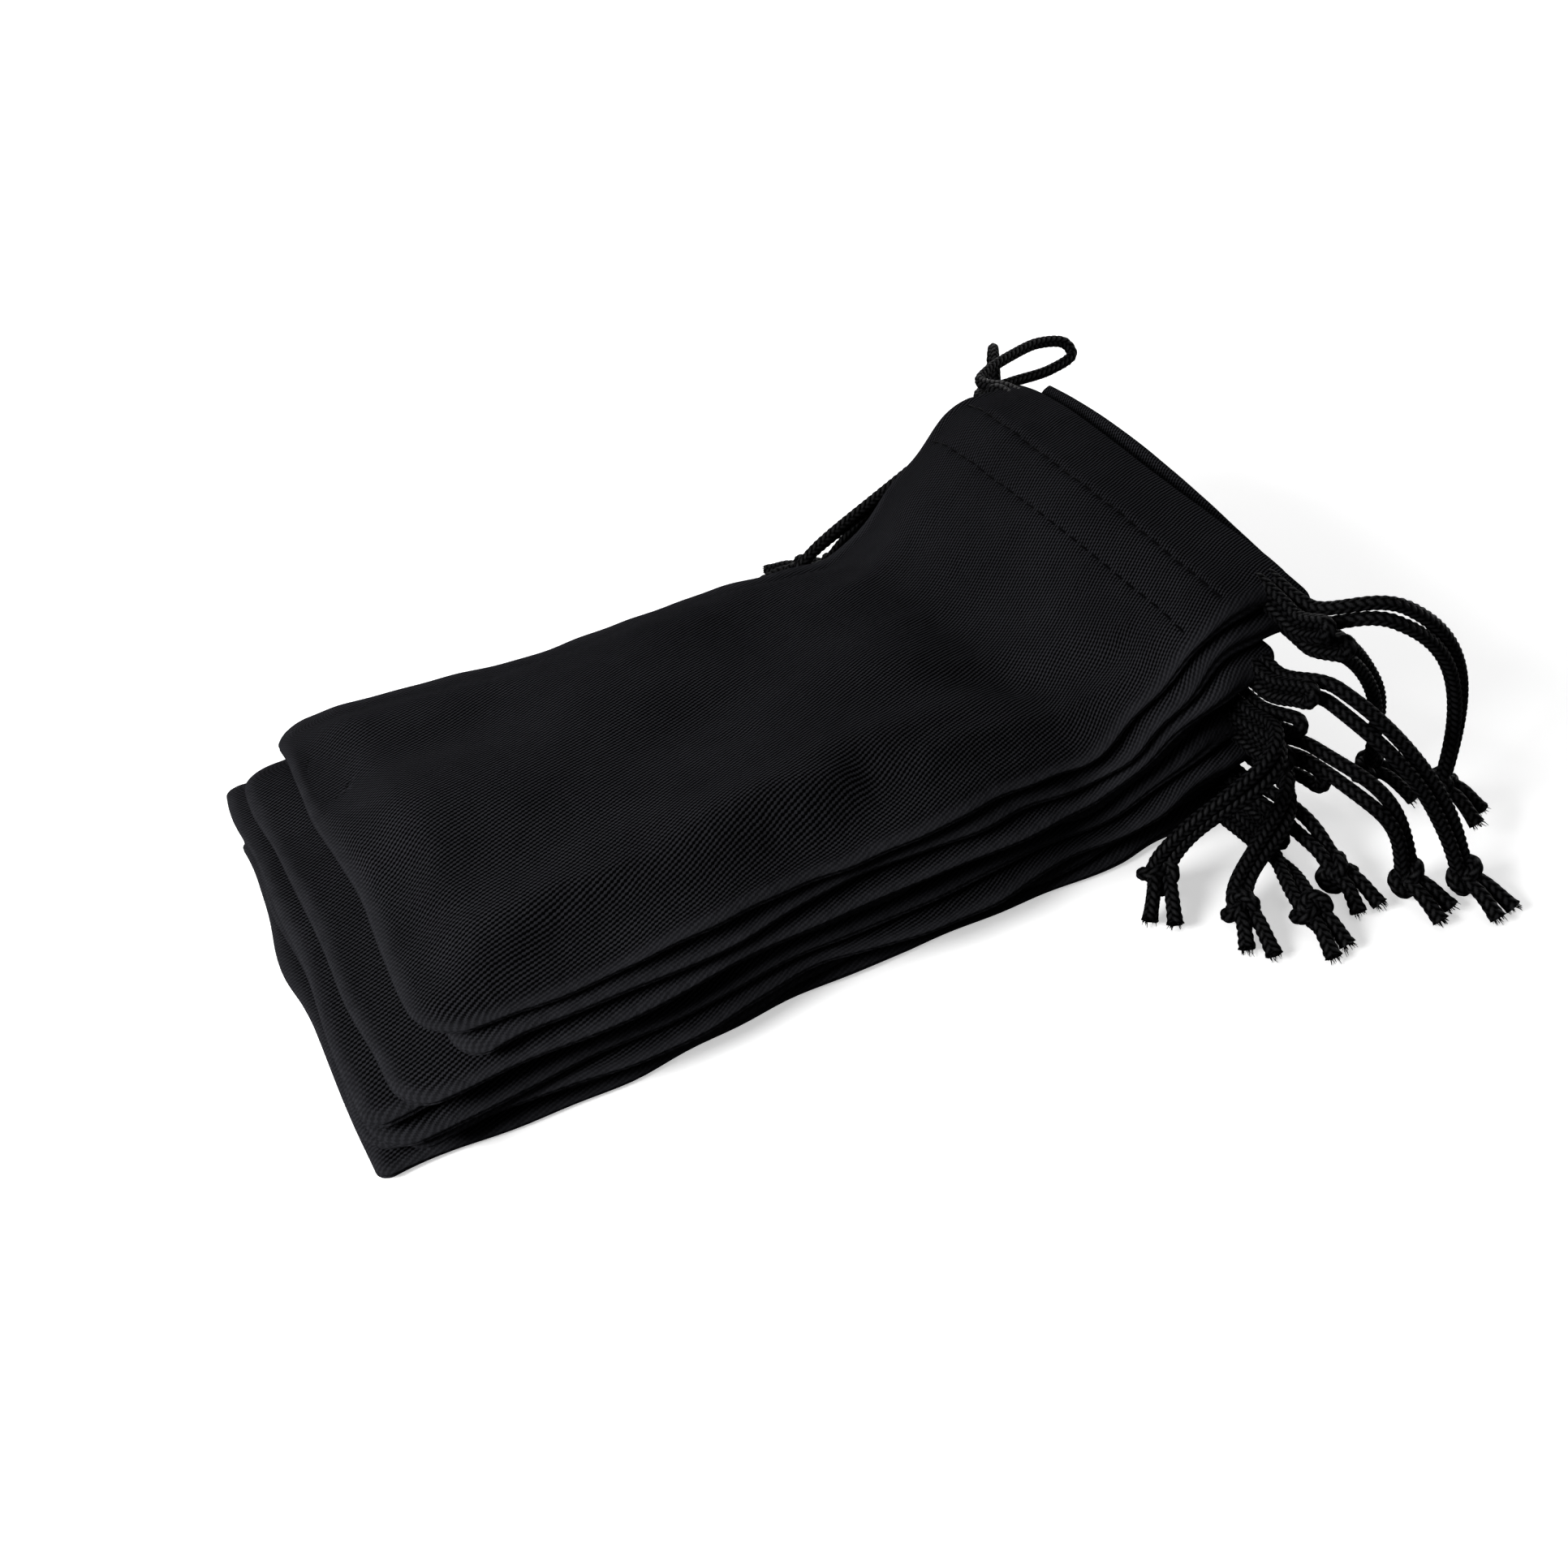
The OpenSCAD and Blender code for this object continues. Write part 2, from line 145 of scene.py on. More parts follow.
def settle(points):
    """how the whole stack sits: a little higher on the far side, crowned
    along its middle, and rolled down along its edges"""
    x, y, z = points[..., 0], points[..., 1], points[..., 2]
    reach = np.abs(y)
    across = np.clip(y / 46.0, -1.25, 1.25)
    on_stack = fall(reach, 47, 12)
    tilt = 0.065 * fall(x, -85, 75) + 0.075 * ramp(x, 30, 55)
    crown = 0.115 * fall(x, 25, 45) * ramp(x, -92, 34)
    sink = -0.02 * ramp(x, 40, 45)
    height = (1 + on_stack * (tilt * across + sink)
              + crown * np.clip(1 - across * across, 0, 1)
              + 0.012 * on_stack * ripple(x, y, 5, 60))
    edge = (np.clip((reach - 29) / 18, 0, 1) ** 2) * on_stack
    height = height - 0.085 * edge * (1 - 0.75 * ramp(x, 50, 30))
    # the closed end of the top layer droops
    height = height - 0.05 * on_stack * fall(x, CLOSED_X[TOP] + 2, 12) * (z > 19)
    # the hems stand up a little
    height = height + 0.040 * ramp(x, 62, 30)
    settled = points.copy()
    settled[..., 2] = z * height
    # the mouths lie at a slight angle across the pouches
    settled[..., 0] = x + 0.072 * np.clip(y, -48, 48) * ramp(x, 35, 55)
    # the side walls breathe in and out along the length
    breath = 0.9 * ripple(x, z * 3.0, 11, 55)
    settled[..., 1] = y + on_stack * ramp(reach, 0, HALF_WIDTH) * np.sign(y) * breath
    return settled


def settle_point(point):
    return settle(point[None])[0]


# --------------------------------------------------------------- materials
class Nodes:
    """short calls for building one node tree"""

    def __init__(self, tree):
        self.tree = tree

    def fill(self, node, inputs):
        """set or link inputs; a colour is given as three numbers"""
        for key, value in inputs.items():
            socket = node.inputs[key]
            if isinstance(value, bpy.types.NodeSocket):
                self.tree.links.new(value, socket)
            elif socket.type == "RGBA":
                socket.default_value = (*value, 1)
            else:
                socket.default_value = value

    def add(self, kind, inputs=None, **settings):
        node = self.tree.nodes.new("ShaderNode" + kind)
        for key, value in settings.items():
            setattr(node, key, value)
        self.fill(node, inputs or {})
        return node

    def math(self, operation, *values):
        return self.add("Math", dict(enumerate(values)), operation=operation).outputs[0]

    def times(self, first, second):
        return self.math("MULTIPLY", first, second)

    def linear(self, value, gain, offset):
        return self.math("MULTIPLY_ADD", value, gain, offset)

    def sine(self, value, period):
        return self.math("SINE", self.times(value, 2 * math.pi / period))

    def mix(self, factor, first, second):
        inputs = {0: factor, 6: first, 7: second}
        return self.add("Mix", inputs, data_type="RGBA").outputs[2]

    def noise(self, vector, scale, detail, roughness=0.5):
        inputs = {"Scale": scale, "Detail": detail, "Roughness": roughness}
        if vector is not None:
            inputs["Vector"] = vector
        return self.add("TexNoise", inputs).outputs[0]

    def soft_range(self, value, **limits):
        names = {key.replace("_", " ").title(): limit for key, limit in limits.items()}
        return self.add("MapRange", {"Value": value, **names},
                        interpolation_type="SMOOTHSTEP").outputs[0]

    # the mask that places painted highlights on sewn edges and yarn crowns, and painted shade in
    # the grooves of the braid
    def highlight_mask(self):
        return self.add("Attribute", attribute_name="highlight_mask").outputs["Fac"]

    def uv(self):
        """the UV vector, its u and its v"""
        vector = self.add("UVMap").outputs[0]
        parts = self.add("SeparateXYZ", {0: vector}).outputs
        return vector, parts[0], parts[1]

    def bump(self, height, strength, distance, **inputs):
        values = {"Height": height, "Strength": strength, "Distance": distance}
        return self.add("Bump", {**values, **inputs}).outputs[0]


def new_material(name):
    material = bpy.data.materials.new(name)
    material.use_nodes = True
    nodes = Nodes(material.node_tree)
    nodes.tree.nodes.clear()
    output = nodes.add("OutputMaterial")
    surface = nodes.add("BsdfPrincipled")
    nodes.fill(output, {0: surface.outputs[0]})
    return material, nodes, surface, output


def shade(color, gain):
    return tuple(part * gain for part in color)


def fabric_material(name, base, lift):
    """brushed microfibre: fine diagonal ribs crossed by knit columns.
    The UV map is in centimetres along and across the cloth."""
    material, nodes, surface, _ = new_material(name)
    linear, times = nodes.linear, nodes.times
    uv, along, across = nodes.uv()
    wobble = nodes.noise(uv, scale=6.0, detail=3)
    u = linear(wobble, 0.03, along)
    v = linear(wobble, -0.02, across)
    rib = linear(nodes.sine(linear(v, 0.62, u), period=0.084), 0.5, 0.5)
    column = linear(nodes.sine(linear(u, -0.34, v), period=0.072), 0.5, 0.5)
    both = linear(rib, 0.34, times(column, 0.66))
    weave = nodes.soft_range(both, from_min=0.28, from_max=0.78)
    # on the tight rolled edges the pile hides part of the weave
    hide = times(nodes.highlight_mask(), 0.65)
    kept = times(weave, nodes.math("SUBTRACT", 1.0, hide))
    weave = nodes.math("ADD", kept, times(hide, 0.5))
    fuzz = nodes.noise(uv, scale=90.0, detail=2, roughness=0.7)
    blotch = nodes.noise(uv, scale=0.55, detail=4, roughness=0.55)
    mottle = nodes.noise(uv, scale=3.2, detail=4, roughness=0.6)
    tone = linear(blotch, 0.9, linear(mottle, 0.35, -0.12))
    # dark grooves, then lighter patches on the raised yarns
    color = nodes.mix(weave, shade(base, 0.06), base)
    patches = times(times(tone, weave), linear(fuzz, 0.9, 0.1))
    color = nodes.mix(patches, color, shade(base, lift))
    # painted highlight: the rolled sewn edges and the mouth lip are painted a shade lighter,
    # where they catch the light
    edge_highlight = times(times(nodes.highlight_mask(), linear(weave, 0.85, 0.15)), linear(mottle, 0.9, 0.1))
    color = nodes.mix(edge_highlight, color, shade(base, 2.2))
    soft = nodes.bump(mottle, strength=0.35, distance=0.0012)
    fine = nodes.bump(linear(fuzz, 0.35, weave), strength=0.8, distance=0.00013, Normal=soft)
    nodes.fill(surface, {
        "Base Color": color, "Roughness": linear(fuzz, 0.25, 0.56),
        "Specular IOR Level": 0.0, "Sheen Weight": 0.012, "Sheen Roughness": 0.25,
        "Sheen Tint": (0.62, 0.64, 0.72), "Normal": fine})
    return material


def cord_material(name, base):
    """braided polyester: the yarns are in the mesh, this adds their fibres.
    u runs along the cord in millimetres, v once round it."""
    material, nodes, surface, _ = new_material(name)
    linear, times = nodes.linear, nodes.times
    uv, u, v = nodes.uv()
    strands = [nodes.sine(linear(v, slant, u), period=0.19) for slant in (9.0, -9.0)]
    fibres = linear(nodes.math("MAXIMUM", *strands), 0.5, 0.5)
    mottle = nodes.noise(uv, scale=2.3, detail=3)
    # this attribute is high on the raised yarns: their crowns are painted light as a highlight,
    # and the grooves between them are painted dark as shade
    raised = times(nodes.math("POWER", nodes.highlight_mask(), 1.8), linear(fibres, 0.6, 0.4))
    color = nodes.mix(raised, shade(base, 0.03), shade(base, 5.0))
    nodes.fill(surface, {
        "Base Color": nodes.mix(times(mottle, 0.06), color, base),
        "Roughness": linear(mottle, 0.2, 0.34),
        "Specular IOR Level": times(raised, 0.09),
        "Sheen Weight": 0.001, "Sheen Roughness": 0.35, "Sheen Tint": (0.6, 0.62, 0.68),
        "Normal": nodes.bump(fibres, strength=0.4, distance=0.00006)})
    return material


def thread_material(name, base):
    """sewing thread with a fine slanting twist"""
    material, nodes, surface, _ = new_material(name)
    place = nodes.add("TexCoord").outputs["Object"]
    turned = nodes.add("Mapping", {0: place, "Rotation": (0, 0, 0.7)}).outputs[0]
    wave = nodes.add("TexWave", {0: turned, "Scale": 900, "Distortion": 1.5})
    twist = wave.outputs["Fac"]
    mottle = nodes.noise(place, scale=1500, detail=2)
    color = nodes.mix(twist, shade(base, 0.5), shade(base, 1.6))
    nodes.fill(surface, {
        "Base Color": nodes.mix(nodes.times(mottle, 0.5), color, base),
        "Roughness": nodes.linear(mottle, 0.25, 0.35),
        "Specular IOR Level": 0.01,
        "Normal": nodes.bump(twist, strength=0.5, distance=0.00005)})
    return material


FABRIC = fabric_material("microfibre", base=(0.0132, 0.0133, 0.0152), lift=3.2)
CORD = cord_material("braid", base=(0.0021, 0.0021, 0.0023))
THREAD = thread_material("thread", base=(0.0022, 0.0022, 0.0026))


# ------------------------------------------------------------ mesh helpers
def make(name, verts, faces, material, uvs=None, highlight_mask=None, sharp=None):
    """an object from vertices (n, 3), a list of face index arrays, and
    per-vertex UVs, a mask for painted highlight and shade, and sharp marks"""
    mesh = bpy.data.meshes.new(name)
    mesh.from_pydata((verts * MM).tolist(), [], [tuple(f) for a in faces for f in a.tolist()])
    mesh.update()
    if uvs is not None:
        layer = mesh.uv_layers.new(name="UVMap")
        corners = np.empty(len(mesh.loops), np.int64)
        mesh.loops.foreach_get("vertex_index", corners)
        layer.data.foreach_set("uv", uvs[corners].astype(np.float32).ravel())
    mesh.polygons.foreach_set("use_smooth", [True] * len(mesh.polygons))
    if sharp is not None:
        ends = np.empty(len(mesh.edges) * 2, np.int64)
        mesh.edges.foreach_get("vertices", ends)
        ends = ends.reshape(-1, 2)
        marks = mesh.attributes.new("sharp_edge", "BOOLEAN", "EDGE")
        marks.data.foreach_set("value", (sharp[ends[:, 0]] & sharp[ends[:, 1]]))
    if highlight_mask is not None:
        values = mesh.attributes.new("highlight_mask", "FLOAT", "POINT")
        values.data.foreach_set("value", highlight_mask.astype(np.float32))
    mesh.materials.append(material)
    return place_object(name, mesh)


def place_object(name, data):
    thing = bpy.data.objects.new(name, data)
    bpy.context.scene.collection.objects.link(thing)
    return thing


def grid_faces(grid, flip=False):
    """quads of an index grid"""
    corners = [grid[:-1, :-1], grid[1:, :-1], grid[1:, 1:], grid[:-1, 1:]]
    quads = np.stack(corners, -1).reshape(-1, 4)
    return quads[:, ::-1] if flip else quads


def tubes(blocks):
    """capped tubes from ring arrays (rings, around, 3)"""
    verts, faces, first = [], [], 0
    for rings in blocks:
        count, around = rings.shape[:2]
        index = first + np.arange(count * around).reshape(count, around)
        faces.append(grid_faces(np.concatenate([index, index[:, :1]], 1), True))
        verts += [rings.reshape(-1, 3), rings[0].mean(0)[None], rings[-1].mean(0)[None]]
        start_cap = first + count * around
        here = np.arange(around)
        following = (here + 1) % around
        for cap, one, two in ((start_cap, index[0][following], index[0][here]),
                              (start_cap + 1, index[-1][here], index[-1][following])):
            faces.append(np.stack([np.full(around, cap), one, two], -1)[:, ::-1])
        first += count * around + 2
    return np.concatenate(verts), faces


# -------------------------------------------------------- simulated creases
BAG_LENGTH = 176.0
BAG_CELLS = (60, 31)            # vertices along and across
BAG_FRAMES = 24
BAG_HEM_ROWS = 9                # rows held still at the mouth


def blur(field, sigma):
    """Gaussian blur of a grid, mirrored at its borders"""
    reach = int(3 * sigma) + 1
    kernel = np.exp(-0.5 * (np.arange(-reach, reach + 1) / sigma) ** 2)
    kernel /= kernel.sum()
    for axis in (0, 1):
        count = field.shape[axis]
        index = np.abs(np.arange(-reach, count + reach))
        index = np.clip(np.where(index >= count, 2 * (count - 1) - index, index), 0, count - 1)
        field = np.apply_along_axis(lambda line: np.convolve(line, kernel, "valid"),
                                    axis, np.take(field, index, axis=axis))
    return field


def cloth_bag(X, Y):
    """a flat closed bag; gives the object and the index grid of its upper ply"""
    rows, columns = X.shape
    inset = np.minimum(np.minimum(X, HALF_WIDTH - np.abs(Y)), BAG_LENGTH - X)
    edge = np.clip(inset / 6, 0, 1)
    high, low = [0.9 + 0.35 * ripple(X, Y, seed, 30, 12) for seed in (3, 4)]
    upper = np.stack([X, Y, high * edge], -1)
    lower = np.stack([X, Y, -low * edge], -1)
    count = rows * columns
    top = np.arange(count).reshape(rows, columns)
    rim = np.zeros((rows, columns), bool)
    rim[0] = rim[-1] = True
    rim[:, 0] = rim[:, -1] = True
    bottom = np.where(rim, top, -1)
    bottom[~rim] = count + np.arange(int((~rim).sum()))
    verts = np.concatenate([upper.reshape(-1, 3), lower[~rim]]) * MM
    faces = np.concatenate([grid_faces(top), grid_faces(bottom, True)])
    mesh = bpy.data.meshes.new("bag")
    mesh.from_pydata(verts.tolist(), [], faces.tolist())
    bag = place_object("bag", mesh)
    pin = bag.vertex_groups.new(name="pin")
    held = [top[-BAG_HEM_ROWS:].ravel(), bottom[-BAG_HEM_ROWS:].ravel()]
    pin.add([int(i) for i in np.unique(np.concatenate(held))], 1.0, "REPLACE")
    return bag, top


def simulate(bag):
    """blow the bag up softly; gives its vertices in millimetres"""
    cloth = bag.modifiers.new("cloth", "CLOTH")
    settings = cloth.settings
    settings.quality = 6
    settings.mass = 0.08
    settings.tension_stiffness = 12
    settings.compression_stiffness = 12
    settings.shear_stiffness = 4
    settings.bending_stiffness = 0.02
    settings.vertex_group_mass = "pin"
    settings.use_pressure = True
    settings.uniform_pressure_force = 4.0
    settings.effector_weights.gravity = 0.0
    settings.air_damping = 2
    cloth.collision_settings.use_collision = False
    cloth.point_cache.frame_start = 1
    cloth.point_cache.frame_end = BAG_FRAMES
    scene = bpy.context.scene
    for frame in range(1, BAG_FRAMES + 1):
        scene.frame_set(frame)
    evaluated = bag.evaluated_get(bpy.context.evaluated_depsgraph_get())
    result = evaluated.to_mesh()
    places = np.empty(len(result.vertices) * 3)
    result.vertices.foreach_get("co", places)
    evaluated.to_mesh_clear()
    scene.frame_set(1)
    return places.reshape(-1, 3) * 1000


def simulated_creases():
    """the creases of a blown-up bag with its hem held still, without the
    balloon shape"""
    rows, columns = BAG_CELLS
    X, Y = np.meshgrid(np.linspace(0, BAG_LENGTH, rows),
                       np.linspace(-HALF_WIDTH, HALF_WIDTH, columns), indexing="ij")
    bag, top = cloth_bag(X, Y)
    z = simulate(bag)[top.ravel(), 2].reshape(rows, columns)
    mesh = bag.data
    bpy.data.objects.remove(bag, do_unlink=True)
    bpy.data.meshes.remove(mesh)
    limit = 1.3
    field = z - blur(z, 3.0)
    inset = np.minimum(X, HALF_WIDTH - np.abs(Y))
    field = (limit * np.tanh(field / limit) * ramp(inset, 2, 8)
             * smooth((BAG_LENGTH - HEM_DEPTH - X) / 10))
    # a finer, smooth copy to read from
    finer = 6
    at_row = np.linspace(0, rows - 1, rows * finer)
    at_column = np.linspace(0, columns - 1, columns * finer)
    field = np.stack([np.interp(at_row, np.arange(rows), line) for line in field.T], 1)
    field = np.stack([np.interp(at_column, np.arange(columns), line) for line in field], 0)
    return blur(field, 3.0)


CREASES = simulated_creases()


def crease(pouch, x, y):
    """read the simulated creases; every other pouch is mirrored"""
    rows, columns = CREASES.shape
    mirror = 1 if pouch % 2 else -1
    u = np.clip((x - CLOSED_X[pouch]) / BAG_LENGTH, 0, 1) * (rows - 1)
    v = np.clip((y * mirror + HALF_WIDTH) / WIDTH, 0, 1) * (columns - 1)
    i = np.minimum(u.astype(int), rows - 2)
    j = np.minimum(v.astype(int), columns - 2)
    a, b = u - i, v - j
    return (CREASES[i, j] * (1 - a) * (1 - b) + CREASES[i + 1, j] * a * (1 - b)
            + CREASES[i, j + 1] * (1 - a) * b + CREASES[i + 1, j + 1] * a * b)


# ------------------------------------------------------------ pouch outline
# In this section and the next, y is measured from the pouch's own middle and
# reach is its absolute value.
def base_height(x):
    """rise from one pouch to the next; more at the doubled hems"""
    x = np.asarray(x, float)
    return 3.0 + 0.4 * ramp(x, -60, 100) + 3.2 * ramp(x, 45, 38)


def half_height(x):
    return (base_height(x) - 0.25) / 2


def corner_cut(reach, radius):
    """how far a rounded corner has drawn back from a square one"""
    past = np.clip(reach - (HALF_WIDTH - radius), 0, radius)
    return radius - np.sqrt(np.maximum(radius * radius - past * past, 0))


def inside(pouch, x, reach):
    """distance inside the sewn outline (closed end and sides)"""
    radius = CORNER_RADIUS[pouch]
    dx = x - CLOSED_X[pouch]
    dy = HALF_WIDTH - reach
    corner = (dx < radius) & (dy < radius)
    round_inset = radius - np.hypot(radius - dx, radius - dy)
    return np.maximum(np.where(corner, round_inset, np.minimum(dx, dy)), 0)


def roll(inset, width):
    """quarter-round rise over a width in from the edge"""
    u = np.clip(inset / width, 0, 1)
    return np.sqrt(np.maximum(1 - (1 - u) ** 2, 0))


def thinning(pouch, x, y, inset):
    """share of its height a pouch keeps towards its sewn edges"""
    cut = 0.44 + 0.20 * ripple(x, y, 140 + pouch, 38)
    return 1 - np.clip(cut + 0.06, 0.2, 0.68) * fall(x, 50, 30) * bell(inset, 8.0)


def middle_height(pouch, x, y):
    """height of the plane between the two plies"""
    z = pouch * base_height(x) + half_height(x)
    if pouch == SECOND:
        # its mouth stands up past the mouth of the top pouch, more so far side
        z = z + 3.4 * ramp(x, 96.0, 6) * (0.08 + 0.92 * ramp(y, -50, 48))
    near_side = ramp(np.abs(y), 30, 14)
    near_edge = near_side + fall(x, CLOSED_X[pouch], 14) * (1 - near_side)
    lift = 0.62 * ripple(x, y, 160 + pouch, 44) - (0.1 if pouch else -0.15)
    lowest = -0.72 if pouch else -0.1       # the bottom pouch stays off the floor
    return z + fall(x, 50, 30) * near_edge * np.clip(lift, lowest, 0.72)


def edge_shift(pouch, x, side):
    """how far a side seam wanders out or in"""
    free = 1 - 0.8 * ramp(x, MOUTH_X[pouch] - 34, 12)
    return free * (1.35 * ripple(x, side * 40.0, 60 + pouch, 62)
                   + 0.35 * ripple(x, side * 9.0, 80 + pouch, 19))


def wander(pouch, x, y):
    """move in y caused by the wandering seams, fading towards the middle"""
    weight = ramp(np.abs(y), 0, HALF_WIDTH) ** 3
    shift = np.where(y < 0, edge_shift(pouch, x, -1), edge_shift(pouch, x, 1))
    return np.sign(y) * weight * shift


# -------------------------------------------------------- upper ply relief
# long folds; columns: x and y of one end, x and y of the other, height, width
FOLDS = [
    (-62, -30, 62, -37, 0.75, 2.8), (-45, -24, 5, -33, 0.45, 3.2),
    (8, -29, 55, -24, 0.35, 3.5), (-70, -20, -35, -34, 0.5, 3.0),
    (-66, 20, -30, 33, 0.3, 4.0), (20, 33, 60, 28, 0.3, 4.0)]
# creases running from the hem into the body; columns: y, height
HEM_CREASES = [(-31, 0.5), (-14, 0.28), (6, 0.3), (24, 0.34), (36, 0.3)]


def hem_relief(pouch, x, y):
    back = MOUTH_X[pouch] - x               # distance back from the mouth
    phase = 2 * math.pi * y / STITCH_PITCH
    z = 0.0
    for row, depth in zip(ROWS, ROW_DEPTHS):
        z = z - depth * (0.72 - 0.28 * np.cos(phase)) * bell(back - row, 0.75)
        # little gathers that fan out from each stitch
        z = z + 0.05 * np.cos(phase + 0.6) * bell(back - row, 3.0)
    # the drawcord lifts the outer half of the hem
    cord = 1 + 0.35 * ripple(x * 0.2, y, 40 + pouch, 13)
    z = z + 0.34 * bell(back - 5.2, 3.6) * cord
    z = z - 0.16 * bell(back - 11.5, 2.2)
    z = z + 0.16 * bell(back - 20.7, 2.6)
    if pouch == SECOND:
        # its outer edge stands up past the mouth of the pouch on top
        z = z + 2.6 * ramp(x, 98.0, 2.6) * (0.2 + 0.8 * ramp(y, -38, 50))
    if pouch == TOP:
        # ripples across the hem
        z = z + 0.22 * ripple(x * 0.35, y, 211, 9) * smooth((30 - back) / 6) * ramp(back, 0, 6)
    return z


def folds(pouch, x, y):
    """soft creases of the upper ply, strongest on the top pouch"""
    if pouch == TOP:
        z = 0.75 + 1.15 * ripple(x, y * 1.5, 27, 60)
        # a long hollow from the far corner and a broad ridge by the near edge
        z = z - 1.5 * bell(y - 24 - 0.12 * (x + 50), 11) * bell(x + 48, 32)
        ridge = bell(y + 30 - 3 * np.sin(x * 0.045), 6.5)
        z = z + 0.9 * ridge * ramp(x, -70, 30) * fall(x, 45, 25)
        crease_gain, gain = 2.2, 1.0
    else:
        z = 0.16 * ripple(x, y * 1.4, 20 + pouch, 42)
        crease_gain, gain = 0.4, 0.45
    z = z + crease_gain * crease(pouch, x, y)
    for x0, y0, x1, y1, height, width in FOLDS:
        run, rise = x1 - x0, y1 - y0
        t = np.clip(((x - x0) * run + (y - y0) * rise) / (run ** 2 + rise ** 2), -0.2, 1.2)
        distance = np.hypot(x - (x0 + t * run), (y - (y0 + t * rise))
                            + 0.9 * np.sin(x * 0.11 + pouch))
        ends = smooth((t + 0.2) / 0.3) * smooth((1.2 - t) / 0.3)
        z = z + gain * height * bell(distance, width) * ends
    for i, (centre, height) in enumerate(HEM_CREASES):
        line = bell(y - centre - 2.5 * np.sin(x * 0.06 + i), 2.6)
        z = z + gain * height * line * ramp(x, 28, 14) * fall(x, 66, 12)
    return z


def top_surface(pouch, x, y):
    """outer surface of the upper ply, before the stack settles"""
    mouth = MOUTH_X[pouch]
    inset = inside(pouch, x, np.abs(y))
    half = half_height(x) * thinning(pouch, x, y, inset)
    width = (half * 1.05 + 0.15) * (1 - 0.5 * ramp(x, mouth - HEM_DEPTH, 8))
    rise = roll(inset, width)
    if pouch == TOP:
        rise = rise * (0.80 + 0.20 * ramp(inset, 0, 9.0))
    relief = hem_relief(pouch, x, y) + folds(pouch, x, y) * fall(x, mouth - 30, 8)
    return middle_height(pouch, x, y) + (half + relief * ramp(inset, 0.6, 3.0)) * rise


# ------------------------------------------------------------------- plies
FOLD_RINGS = 11                 # steps round the lip of the mouth
CLOTH = 0.55                    # thickness of one ply
LINING = 0.12                   # least height of the inner face
# spacing of the first stations in from the closed end and from the sides
CLOSED_STATIONS = [0, .12, .3, .55, .85, 1.2, 1.6, 2.1, 2.7, 3.4, 4.3, 5.4, 6.7, 8.2]
SIDE_STATIONS = [0, .06, .18, .36, .6, .9, 1.25, 1.65, 2.1, 2.7, 3.4, 4.2]


def extend(values, start, stop, step):
    """append even steps from start up to, and without, stop"""
    while start < stop:
        values.append(start)
        start += step


def stations_x(pouch, fine):
    body_step, hem_step = (1.25, 0.42) if fine else (2.5, 0.8)
    hem = MOUTH_X[pouch] - HEM_DEPTH
    end = MOUTH_X[pouch] - MOUTH_FOLD
    stations = [CLOSED_X[pouch] + distance for distance in CLOSED_STATIONS]
    extend(stations, stations[-1] + body_step, hem, body_step)
    extend(stations, hem, end, hem_step)
    return np.array(stations + [end])


def stations_y(fine):
    """from the edge to the middle"""
    step = 0.85 if fine else 1.9
    stations = list(SIDE_STATIONS)
    extend(stations, stations[-1] + step, HALF_WIDTH - 0.2, step)
    return HALF_WIDTH - np.array(stations + [HALF_WIDTH])


def running_length(a, b):
    return np.concatenate([[0], np.cumsum(np.hypot(np.diff(a), np.diff(b)))])


def face_heights(pouch, x, y, inset, upper):
    """heights of the outer and inner face from the middle plane, and how far
    the outer face has risen from the edge"""
    mouth = MOUTH_X[pouch]
    half = half_height(x) * thinning(pouch, x, y, inset)
    rise = roll(inset, half * 1.05 + 0.15)
    inner_rise = roll(np.maximum(inset - 0.45, 0), half)
    hem = ramp(x, mouth - 27, 2.0)          # doubled cloth of the hem
    inner_body = np.maximum(half - CLOTH, LINING) * inner_rise + LINING * 0.5
    inner = inner_body * (1 - hem) + LINING * 0.6 * hem
    if upper:
        outer = top_surface(pouch, x, y) - middle_height(pouch, x, y)
    else:
        outer = half * rise
        if pouch:
            outer = outer + 0.10 * ripple(x, y * 1.3, 30 + pouch, 30) * ramp(inset, 1, 3)
    outer = np.maximum(outer, 0.02)
    inner = np.minimum(inner, np.maximum(outer - 0.03, 0.01))
    # sewn edge: the two plies bite into each other, so no light comes through
    inner = inner - 0.26 * fall(inset, 0.5, 0.9) * fall(x, mouth - 9.5, 1.5)
    return outer, inner, rise


def bulge(pouch, x, y, rise):
    """both plies roll out past the seam, which sits in the crease between
    them; gives the moves in x and y"""
    amount = (0.62 * np.sin(math.pi * np.clip(rise, 0, 1) ** 0.8)
              * fall(x, MOUTH_X[pouch] - 16, 8) * (1 + 0.4 * ripple(x, y, 180 + pouch, 24)))
    radius = CORNER_RADIUS[pouch]
    dx, dy = x - CLOSED_X[pouch], HALF_WIDTH - np.abs(y)
    corner = (dx < radius) & (dy < radius)
    length = np.maximum(np.hypot(radius - dx, radius - dy), 1e-6)
    at_end = dx < dy
    out_x = np.where(corner, -(radius - dx) / length, np.where(at_end, -1.0, 0.0))
    out_y = np.where(corner, (radius - dy) / length, np.where(at_end, 0.0, 1.0))
    return amount * out_x, amount * out_y * np.sign(y)


def fold_mouth(outer, inner, x, last):
    """wrap the outer face round the lip to meet the inner one; last is the
    final row before the fold"""
    z_out, z_in = outer[last, :, 2], inner[last, :, 2]
    centre, radius = (z_out + z_in) / 2, (z_out - z_in) / 2
    for i in range(1, FOLD_RINGS + 1):
        angle = math.pi * i / FOLD_RINGS
        outer[last + i, :, 0] = x[last] + MOUTH_FOLD * math.sin(angle)
        outer[last + i, :, 2] = centre + radius * math.cos(angle)
        inner[last + i, :, 0] = x[last] + 0.02 * i / FOLD_RINGS
        inner[last + i, :, 2] = z_in - 0.001


